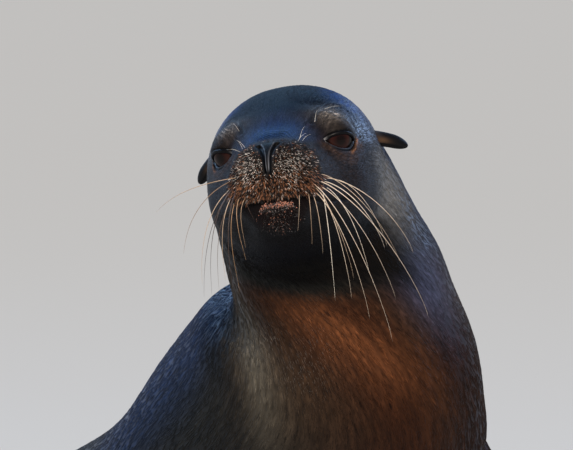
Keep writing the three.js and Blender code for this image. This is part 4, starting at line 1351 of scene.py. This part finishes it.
def lockShapes(row, column, surface, length):
    # a closed three-sided blade through a root, a middle and a tip that follow the skin
    p, normal, along = surface["points"], surface["normal"], surface["along"]
    count = len(row)
    pace = np.maximum(np.linalg.norm(readGrid(along, row, column), axis=-1), 1e-5)
    gap = np.linalg.norm(np.roll(p, -1, axis=1) - p, axis=-1)
    aside = np.maximum(readGrid(gap, row, column), 1e-5)
    reach = length * mm
    stray = dice.normal(0.0, coat["wander"], count) * reach
    places = [(row, column)]
    for share in (0.5, 1.0):
        places.append((row + share * reach / pace, column + share * share * stray / aside))
    spine = np.stack([readGrid(p, r, c) for r, c in places], axis=1)
    up = unit(np.stack([readGrid(normal, r, c) for r, c in places], axis=1))
    lift = dice.uniform(*coat["lift"], count) * reach
    sunk = coat["sunk"] * mm * np.minimum(1.0, length / 6.0)
    spine[:, 0] -= up[:, 0] * sunk[:, None]
    spine[:, 1] += up[:, 1] * (lift * 0.45)[:, None]
    spine[:, 2] += up[:, 2] * lift[:, None]
    heading = unit(spine[:, 2] - spine[:, 0])
    sideways = unit(np.cross(up[:, 0], heading))
    half = (length * coat["widthShare"] * mm / 2.0 * dice.uniform(0.75, 1.25, count))[:, None]
    thick = half * 0.55
    root, middle, tip = spine[:, 0], spine[:, 1], spine[:, 2]
    wide, narrow = sideways * half, sideways * half * 0.8
    points = np.stack([root - narrow, root + narrow, root + up[:, 0] * thick * 2.0,
                       middle - wide, middle + wide, middle + up[:, 1] * thick, tip], axis=1)
    points[..., 2] = np.maximum(points[..., 2], 0.0)
    return points


def lockFaces(count):
    # a triangle at the root, three triangles to the tip, and three quads between root and middle
    one = np.array([2, 1, 0, 6, 3, 4, 6, 4, 5, 6, 5, 3, 4, 3, 0, 1, 5, 4, 1, 2, 3, 5, 2, 0])
    sizes = np.array([3, 3, 3, 3, 4, 4, 4])
    corners = (one[None, :] + coat["points"] * np.arange(count)[:, None]).ravel()
    return corners, np.tile(sizes, count), one


def makeCoat():
    needs, lengths = [], []
    for surface in skins:
        length, furred = lockLength(surface)
        weight = furred / (coat["widthShare"] * length ** 2)
        needs.append((cellAreas(surface["points"]) * weight[:-1]).sum())
        lengths.append((length, weight))
    counts = (coat["locks"] * np.array(needs) / sum(needs)).astype(int)
    made = []
    for surface, (length, weight), count in zip(skins, lengths, counts):
        row, column = scatter(surface, weight, count)
        long = readGrid(length, row, column) * dice.uniform(0.7, 1.3, count)
        points = lockShapes(row, column, surface, long)
        plain, speckled = coat["tones"]
        spread = plain + (speckled - plain) * readGrid(surface["speck"], row, column)
        tone = (1.0 + spread * dice.normal(0.0, 1.0, count)).clip(0.35, 2.2)
        tint = readGrid(surface["tint"], row, column) * tone[:, None]
        wet = readGrid(surface["wet"], row, column)
        centre = placeOnUnwrap(surface, row, column)
        order = surface["t"][row.astype(int), column.astype(int)] + (0.0 if surface["poles"] else 5000.0)
        made.append((points, tint, wet, centre, order))
    points, tint, wet, centre, order = (np.concatenate(parts) for parts in zip(*made))
    sequence = np.argsort(order, kind="stable")
    # each point's place on the lock's own patch of the unwrap
    blade = np.array([[-0.4, -0.5], [0.4, -0.5], [0.0, -0.45],
                      [-0.5, 0.0], [0.5, 0.0], [0.0, 0.0], [0.0, 0.5]])
    for name, chosen in zip(coat["pieces"], np.array_split(sequence, len(coat["pieces"]))):
        count = len(chosen)
        corners, sizes, one = lockFaces(count)
        uv = np.clip(centre[chosen], 0.002, 0.998)[:, None] + coat["patch"] * blade[one][None]
        attributes = {"tint": withAlpha(np.repeat(tint[chosen], coat["points"], axis=0)),
                      "wet": np.repeat(wet[chosen], coat["points"])}
        piece = makeMesh("coat_" + name, points[chosen].reshape(-1, 3), corners, sizes, wetLocks, attributes,
                         uv.reshape(-1, 2), smooth=False)
        own(piece, "coat")


makeCoat()
print("coat made")


def headAxes():
    # the head's own axes as they lie in the model
    ends = headPosed(np.concatenate([np.zeros((1, 3)), np.eye(3)]))
    return ends[1:] - ends[0]


headSide, headBack, headUp = headAxes()

bristles = {
    "count": 7600,
    "from": -44.0,
    "greyWhite": colour(240, 232, 224),
    "orange": colour(178, 118, 80),
    "dark": colour(16, 10, 8),
    "padRise": (-92.0, 44.0, 21.0),   # the pad's lower edge rises from this y on, over this much, so high
    "grains": 900,          # short stubs on the lower lip
    "pink": colour(238, 166, 140),
    "grey": colour(136, 130, 132),
}


def tubeUv(centre, sides, points, width):
    # each tube's own small patch round its root's place: across by the side, up by the ring
    quads = [[(i, j), (i, j + 1), (i + 1, j + 1), (i + 1, j)][::-1]
             for i in range(points - 2) for j in range(sides)]
    tips = [[(points - 2, j), (points - 2, j + 1), (points - 1, j + 0.5)][::-1] for j in range(sides)]
    one = np.array([place for face in quads + tips for place in face] + [(0, j) for j in range(sides)], float)
    patch = np.stack([one[:, 1] / sides - 0.5, one[:, 0] / (points - 1) - 0.5], axis=-1) * width
    return (np.clip(centre, 0.002, 0.998)[:, None] + patch[None]).reshape(-1, 2)


def plantHairs(name, path, girth, around, tint, row, column, material):
    # one closed tube a path, each on a small patch of the unwrap round its root's place
    points, corners, sizes, each = tubeAlong(path, girth, around)
    uv = tubeUv(placeOnUnwrap(bodySkin, row, column), around, path.shape[1], coat["patch"])
    attributes = {"tint": withAlpha(np.repeat(tint, each, axis=0))}
    own(makeMesh(name, points, corners, sizes, material, attributes, uv), "coat")


def picked(pick, *choices):
    # the first shade whose limit the chance value stays under, or else the last one
    tint = choices[-1]
    for limit, shade in choices[-2::-1]:
        tint = np.where((pick < limit)[:, None], shade, tint)
    return tint


def sownRoots(zone, count):
    row, column = scatter(bodySkin, zone, count)
    root = readGrid(bodySkin["points"], row, column)
    return row, column, root, unit(readGrid(bodySkin["normal"], row, column))


def rootsNear(misses):
    # where on the skin each table of misses is least
    row, column = np.array([np.unravel_index(np.argmin(miss), miss.shape) for miss in misses]).T
    return row, column, bodySkin["points"][row, column], bodySkin["normal"][row, column]


def makeBristles():
    # short stiff hair over the muzzle, pointing down and out, pale above and orange by the lips
    h = bodyToHead(bodySkin["rest"])
    x, y, z = np.abs(h[..., 0]), h[..., 1], h[..., 2]
    lip = mouthHeight(y)
    start, over, rise = bristles["padRise"]
    low = lip + 1.5 + rise * ease((y - start) / over)
    zone = ease((bristles["from"] - y) / 30.0) * ease((z - low) / 3.0) * ease((2.0 - z) / 22.0)
    zone = zone * ease((50.0 - x) / 16.0) * (1.0 - noseMask(h)) * (slitMask(h, 1.4) < 0.2)
    row, column, root, normal = sownRoots(zone, bristles["count"])
    spot = readGrid(h, row, column)
    x, z = spot[:, 0], spot[:, 2]
    count = len(root)
    low = ease((-34.0 - z) / 16.0)
    outward = np.clip(x / 26.0, -1.0, 1.0)[:, None] * headSide
    start = unit(normal * 0.85 - headUp * 0.45 + outward * 0.40 + dice.normal(0.0, 0.26, (count, 3)))
    later = unit(start - headUp * (0.7 + 0.7 * low)[:, None] + dice.normal(0.0, 0.18, (count, 3)))
    length = (2.2 + 2.4 * low + 1.2 * ease((np.abs(x) - 16.0) / 14.0)) * dice.uniform(0.5, 1.5, count) * mm
    s = np.array([0.0, 0.4, 0.75, 1.0])
    bent = start[:, None] * s[:, None] + (later - start)[:, None] * (s ** 2)[:, None] * 0.5
    path = root[:, None] - normal[:, None] * 0.3 * mm + bent * length[:, None, None]
    radius = dice.uniform(0.17, 0.37, count)[:, None] * mm * np.array([1.0, 0.9, 0.6, 0.0])
    pale = bell((np.abs(x) - 18.0) / 12.0, (z + 31.0) / 13.0)
    warm = ease((-26.0 - z) / 22.0)
    pick = dice.random(count)
    edge = 0.04 + 0.42 * pale
    tint = picked(pick, (edge, bristles["greyWhite"]), (edge + 0.08 + 0.26 * warm, bristles["orange"]),
                  bristles["dark"])
    tint = tint * (dice.uniform(0.3, 1.15, count) ** 1.2)[:, None]
    plantHairs("muzzle_bristles", path, radius, 3, tint, row, column, bristleHair)


def makeLipGrains():
    # blunt stubs along the lower lip: a thick pink row on top, then sparser and greyer down the chin
    h = bodyToHead(bodySkin["rest"])
    x, y, z = h[..., 0] - 2.0, h[..., 1], h[..., 2]
    under = mouthHeight(y) - z
    below = under - lipArch(h[..., 0])
    zone = bell(below / 1.8) * ease((19.0 - np.abs(x - 1.0)) / 5.0) * 1.5
    halfWide = 15.0 - 0.35 * np.clip(below, 0.0, 30.0)
    zone = zone + 0.45 * bell((x + 1.0) / halfWide) * ease(below / 3.0) * ease((30.0 - below) / 12.0)
    zone = zone * ease((-60.0 - y) / 8.0) * (under > 0.8)
    row, column, root, normal = sownRoots(zone, bristles["grains"])
    depth = mouthHeight(readGrid(y, row, column)) - readGrid(z, row, column)
    count = len(root)
    start = unit(normal - headUp * 0.35 + dice.normal(0.0, 0.3, (count, 3)))
    s = np.array([0.0, 0.35, 0.8, 1.0])
    length = dice.uniform(0.8, 2.2, count) * mm
    path = root[:, None] - normal[:, None] * 0.3 * mm + start[:, None] * s[:, None] * length[:, None, None]
    thin = 1.0 - 0.45 * ease((depth - 6.0) / 6.0)
    radius = (dice.uniform(0.30, 0.66, count) * thin)[:, None] * mm * np.array([1.0, 0.95, 0.6, 0.0])
    pick = dice.random(count)
    rosy = 0.10 + 0.42 * ease((9.0 - depth) / 5.0)
    tint = picked(pick, (rosy, bristles["pink"]), (rosy + 0.22, bristles["grey"]), bristles["dark"])
    tint = tint * (dice.uniform(0.35, 1.0, count) * (1.0 - 0.45 * ease((depth - 5.0) / 14.0)))[:, None]
    plantHairs("lip_grains", path, radius, 4, tint, row, column, bristleHair)


# side (1 her left), root's y and z, then how far it reaches out, down and forwards, and its girth
whiskers = [
    (1, -52, -43, 78, 80, 10, 0.62), (1, -62, -47, 53, 71, 12, 0.60), (1, -76, -47, 91, 135, 16, 0.64),
    (1, -84, -49, 61, 154, 18, 0.62), (1, -78, -58, 41, 124, 14, 0.60), (1, -70, -58, 20, 105, 10, 0.58),
    (1, -84, -59, -2, 51, 12, 0.46), (1, -77, -61, 2, 58, 10, 0.50), (1, -62, -58, -3, 104, 6, 0.55),
    (1, -33, -43, 37, 71, 4, 0.34), (1, -88, -60, -5, 36, 8, 0.40), (1, -66, -40, 66, 92, 14, 0.44),
    (1, -56, -52, 30, 88, 6, 0.50), (1, -80, -53, 28, 92, 18, 0.48), (1, -72, -52, 58, 112, 12, 0.54),
    (-1, -83, -34, 77, 22, 10, 0.46), (-1, -73, -35, 54, 63, 10, 0.50), (-1, -83, -43, 35, 100, 14, 0.58),
    (-1, -86, -46, 18, 121, 16, 0.60), (-1, -72, -43, 41, 87, 8, 0.50), (-1, -91, -56, 4, 49, 8, 0.42),
    (-1, -92, -57, 1, 21, 6, 0.55), (-1, -88, -53, 3, 62, 10, 0.52), (-1, -79, -50, 17, 80, 8, 0.56),
    (-1, -66, -46, 36, 96, 6, 0.50), (-1, -60, -52, 22, 84, 4, 0.48), (-1, -80, -56, 8, 88, 10, 0.46),
]


whiskerShape = {
    "girth": 0.80,          # over the table's values
    "sway": 2.0,
    "room": 0.030,          # how far ahead of the solids a tip may stand, in metres
    "cream": colour(232, 222, 206),
    "tan": colour(158, 122, 84),
    "brown": colour(62, 44, 34),
}


def makeWhiskers():
    # each goes out and falls: out by 1 - (1 - s)^1.25, down by s^1.3, with a bow forwards
    table = np.array(whiskers, float)
    h, t = bodyToHead(bodySkin["rest"]), bodySkin["t"]
    row, column, root, normal = rootsNear(
        (h[..., 1] - y) ** 2 + (h[..., 2] - z) ** 2 + 1e6 * ((h[..., 0] * side < 0.0) | (t > 200.0))
        for side, y, z in table[:, :3])
    side, out, down, ahead = (table[:, n][:, None, None] for n in (0, 3, 4, 5))
    s = np.linspace(0.0, 1.0, 34)[None, :, None]
    sway = dice.normal(0.0, whiskerShape["sway"], (len(table), 1, 1)) * s ** 2
    path = root[:, None] - normal[:, None] * 1.0 * mm
    path = path + headSide * side * (out * (1.0 - (1.0 - s) ** 1.25) + 3.0 * np.sin(math.pi * s) + sway) * mm
    path = path - headUp * (down * s ** 1.3 - 2.0 * np.sin(math.pi * s)) * mm
    path = path - headBack * (ahead * np.sin(math.pi * np.minimum(1.0, s * 1.1) * 0.9)) * mm
    # long ones sweep back, so that no tip stands ahead of the body
    over = np.maximum(0.0, cadBox[0][1] - whiskerShape["room"] - path[..., 1].min(axis=1))
    swept = (over / headBack[1])[:, None, None] * s ** 1.2
    path = path + swept * (headBack - 0.17 * headSide)
    girth = table[:, 6][:, None] * whiskerShape["girth"] * mm * (1.0 - 0.86 * s[0, :, 0] ** 1.1)
    tone = np.where(table[:, 0] > 0, 0.26, 0.80) + dice.uniform(-0.28, 0.38, len(table))
    tint = mixed(whiskerShape["cream"], whiskerShape["tan"], np.clip(tone / 0.75, 0.0, 1.0))
    tint = mixed(tint, whiskerShape["brown"], np.clip((tone - 0.75) / 0.3, 0.0, 1.0))
    plantHairs("whiskers", path, girth, 8, tint, row, column, whiskerHorn)


# side, root's x, y and z, then where the tip lies from it: out, back and up, in the head's frame
paleHairs = [
    (1, 26, -52, -3, 6, 2, 12), (1, 24, -58, -6, 10, -4, 6), (1, 27, -50, -6, 9, 0, 5),
    (-1, 27, -50, -2, 7, -2, 8), (-1, 29, -46, -3, 4, -2, 9), (-1, 31, -44, -6, 12, -6, 3),
    (1, 41, 4, 32, 20, 26, 5), (1, 37, -14, 19, 2, 14, 14), (-1, 38, -12, 22, 4, -9, 7),
]


def makePaleHairs():
    # a few single hairs by the bridge and the inner brow
    table = np.array(paleHairs, float)
    side = table[:, :1]
    sides = np.concatenate([side, np.ones_like(side), np.ones_like(side)], axis=1)
    h, t = bodyToHead(bodySkin["rest"]), bodySkin["t"]
    row, column, root, _ = rootsNear(
        np.sum((h - place) ** 2, axis=-1) + 1e6 * (t > station["crown"]) for place in table[:, 1:4] * sides)
    reach = table[:, 4:7] * sides
    reach = reach[:, :1] * headSide + reach[:, 1:2] * headBack + reach[:, 2:3] * headUp
    s = np.linspace(0.0, 1.0, 10)[None, :, None]
    bow = headUp * 1.5 * np.sin(math.pi * s)
    path = root[:, None] + (reach[:, None] * s + bow) * mm
    girth = 0.17 * mm * (1.0 - 0.85 * s[..., 0]) * np.ones((len(table), 1))
    tint = np.tile(whiskerShape["cream"], (len(table), 1))
    plantHairs("pale_hairs", path, girth, 6, tint, row, column, whiskerHorn)


makeBristles()
makeLipGrains()
makeWhiskers()
makePaleHairs()
print("bristles and whiskers made")


# ---- claws on the backs of the hind toes

nail = {"length": 15.0, "halfWidth": 2.4, "halfHeight": 1.7, "raised": 0.9, "droop": 3.0,
        "rings": 14, "around": 16}


def makeClaw(side, name, toe):
    # a small pointed nail, curved down to its tip, seated in the toe
    low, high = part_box(f"claw_{name}_{toe}")
    middle = np.array((low + high) / 2.0)
    hind = flippers["hind"]
    rows = swung(hind["rows"], hind["wrist"], hind["swing"][side])
    tipX, tipY = rows[-1, 0:2] + rows[-1, 3:5] - rows[-2, 0:2] - rows[-2, 3:5]
    ahead = unit(np.array([tipX * side, tipY, 0.0]))
    aside = np.array([-ahead[1], ahead[0], 0.0])
    s = np.linspace(0.0, 1.0, nail["rings"])
    v, angle = np.meshgrid(s, turn * np.arange(nail["around"]) / nail["around"], indexing="ij")
    girth = np.sin(math.pi * np.clip(v, 0.02, 0.99)) ** 0.7 * (1.15 - 0.6 * v)
    p = ahead * ((v - 0.5) * nail["length"])[..., None]
    p = p + aside * (np.cos(angle) * nail["halfWidth"] * girth)[..., None]
    p[..., 2] += np.sin(angle) * nail["halfHeight"] * girth + nail["raised"] - nail["droop"] * v * v
    surface = {"points": middle + p * mm, "poles": True, "island": wholeSheet}
    points, corners, sizes, uv, _ = wovenGrid(surface)
    piece = makeMesh(f"nail_{name}_{toe}", points, corners, sizes, clawHorn, None, uv)
    return own(piece, "claw", f"claw_{name}_{toe}")


for name, side in sides.items():
    for toe in (2, 3, 4):
        makeClaw(side, name, toe)
print("claws made")


# ---- camera, light and floor

view = {"azimuth": math.radians(-32.0), "elevation": math.radians(8.0), "distance": 5.0,
        "perPixel": 0.00096, "imageWidth": 573, "rightOfEyes": 5.0, "belowEyes": 77.0, "sensor": 36.0}


def makeCamera():
    back = np.array([math.sin(view["azimuth"]) * math.cos(view["elevation"]),
                     -math.cos(view["azimuth"]) * math.cos(view["elevation"]), math.sin(view["elevation"])])
    right = np.array([math.cos(view["azimuth"]), math.sin(view["azimuth"]), 0.0])
    up = np.cross(back, right)
    betweenEyes = toModel(headPosed(np.zeros((1, 3))))[0]
    target = betweenEyes + (right * view["rightOfEyes"] - up * view["belowEyes"]) * view["perPixel"]
    camera = bpy.data.cameras.new("camera")
    camera.sensor_width = view["sensor"]
    camera.lens = view["sensor"] * view["distance"] / (view["imageWidth"] * view["perPixel"])
    camera.clip_end = 200.0
    holder = bpy.data.objects.new("camera", camera)
    axes = Matrix(np.stack([right, up, back], axis=-1).tolist()).to_4x4()
    holder.matrix_world = Matrix.Translation(Vector(target + back * view["distance"])) @ axes
    bpy.context.scene.collection.objects.link(holder)
    bpy.context.scene.camera = holder
    return target, right, back


target, viewRight, viewBack = makeCamera()

# where from the target, in metres: towards the camera, to the camera's right, up; size, watts, colour
lights = {
    "warmKey": ((2.2, 0.3, 2.0), 0.9, 112.0, (1.0, 0.89, 0.76)),
    "skyTop": ((-0.6, 0.0, 2.6), 2.2, 8.0, (0.32, 0.60, 1.0)),
    "rimRight": ((-1.6, 1.8, 1.0), 1.2, 24.0, (0.42, 0.62, 1.0)),
    "rimLeft": ((-1.5, -1.7, 1.5), 1.2, 44.0, (0.38, 0.63, 1.0)),
    "rimTop": ((-1.3, 0.0, 0.95), 0.8, 3.6, (0.30, 0.64, 1.0)),
}


def softbox(name, place, size, power, shade):
    light = bpy.data.lights.new(name, "AREA")
    light.shape = "DISK"
    light.size = size
    light.energy = power
    light.color = shade
    lamp = bpy.data.objects.new(name, light)
    lamp.location = place
    lamp.rotation_euler = (Vector(target) - Vector(place)).to_track_quat("-Z", "Y").to_euler()
    bpy.context.scene.collection.objects.link(lamp)


def makeLights():
    flatBack = unit(np.array([viewBack[0], viewBack[1], 0.0]))
    for name, ((near, right, up), size, power, shade) in lights.items():
        place = target + flatBack * near + viewRight * right + np.array([0.0, 0.0, up])
        softbox(name, place, size, power, shade)
    world = bpy.data.worlds.new("sky")
    world.use_nodes = True
    tree = world.node_tree
    spot = add(tree, "ShaderNodeTexCoord")
    split = add(tree, "ShaderNodeSeparateXYZ", {0: spot.outputs["Generated"]})
    ramp = add(tree, "ShaderNodeValToRGB", {0: split.outputs["Z"]})
    ramp.color_ramp.elements[0].color = (0.50, 0.54, 0.60, 1.0)
    ramp.color_ramp.elements[1].color = (0.11, 0.18, 0.32, 1.0)
    tree.links.new(ramp.outputs["Color"], tree.nodes["Background"].inputs["Color"])
    tree.nodes["Background"].inputs["Strength"].default_value = 0.6
    bpy.context.scene.world = world


def makeFloor():
    side = 60.0
    points = np.array([[-side, -side, 0.0], [side, -side, 0.0], [side, side, 0.0], [-side, side, 0.0]])
    material, tree, shader = newMaterial("paleFloor", Roughness=0.9)
    drift = noise(tree, objectPlace(tree), 0.5, Detail=3.0)
    vary(tree, shader, (*colour(94, 94, 94), 1.0), drift, 0.25)
    shader.inputs["Emission Color"].default_value = (*colour(208, 205, 201), 1.0)
    shader.inputs["Emission Strength"].default_value = 0.80
    floor = makeMesh("floor", points, np.arange(4), np.array([4]), material, smooth=False)


makeLights()
makeFloor()
bpy.context.scene.view_settings.view_transform = "Standard"
print("camera, lights and floor set")
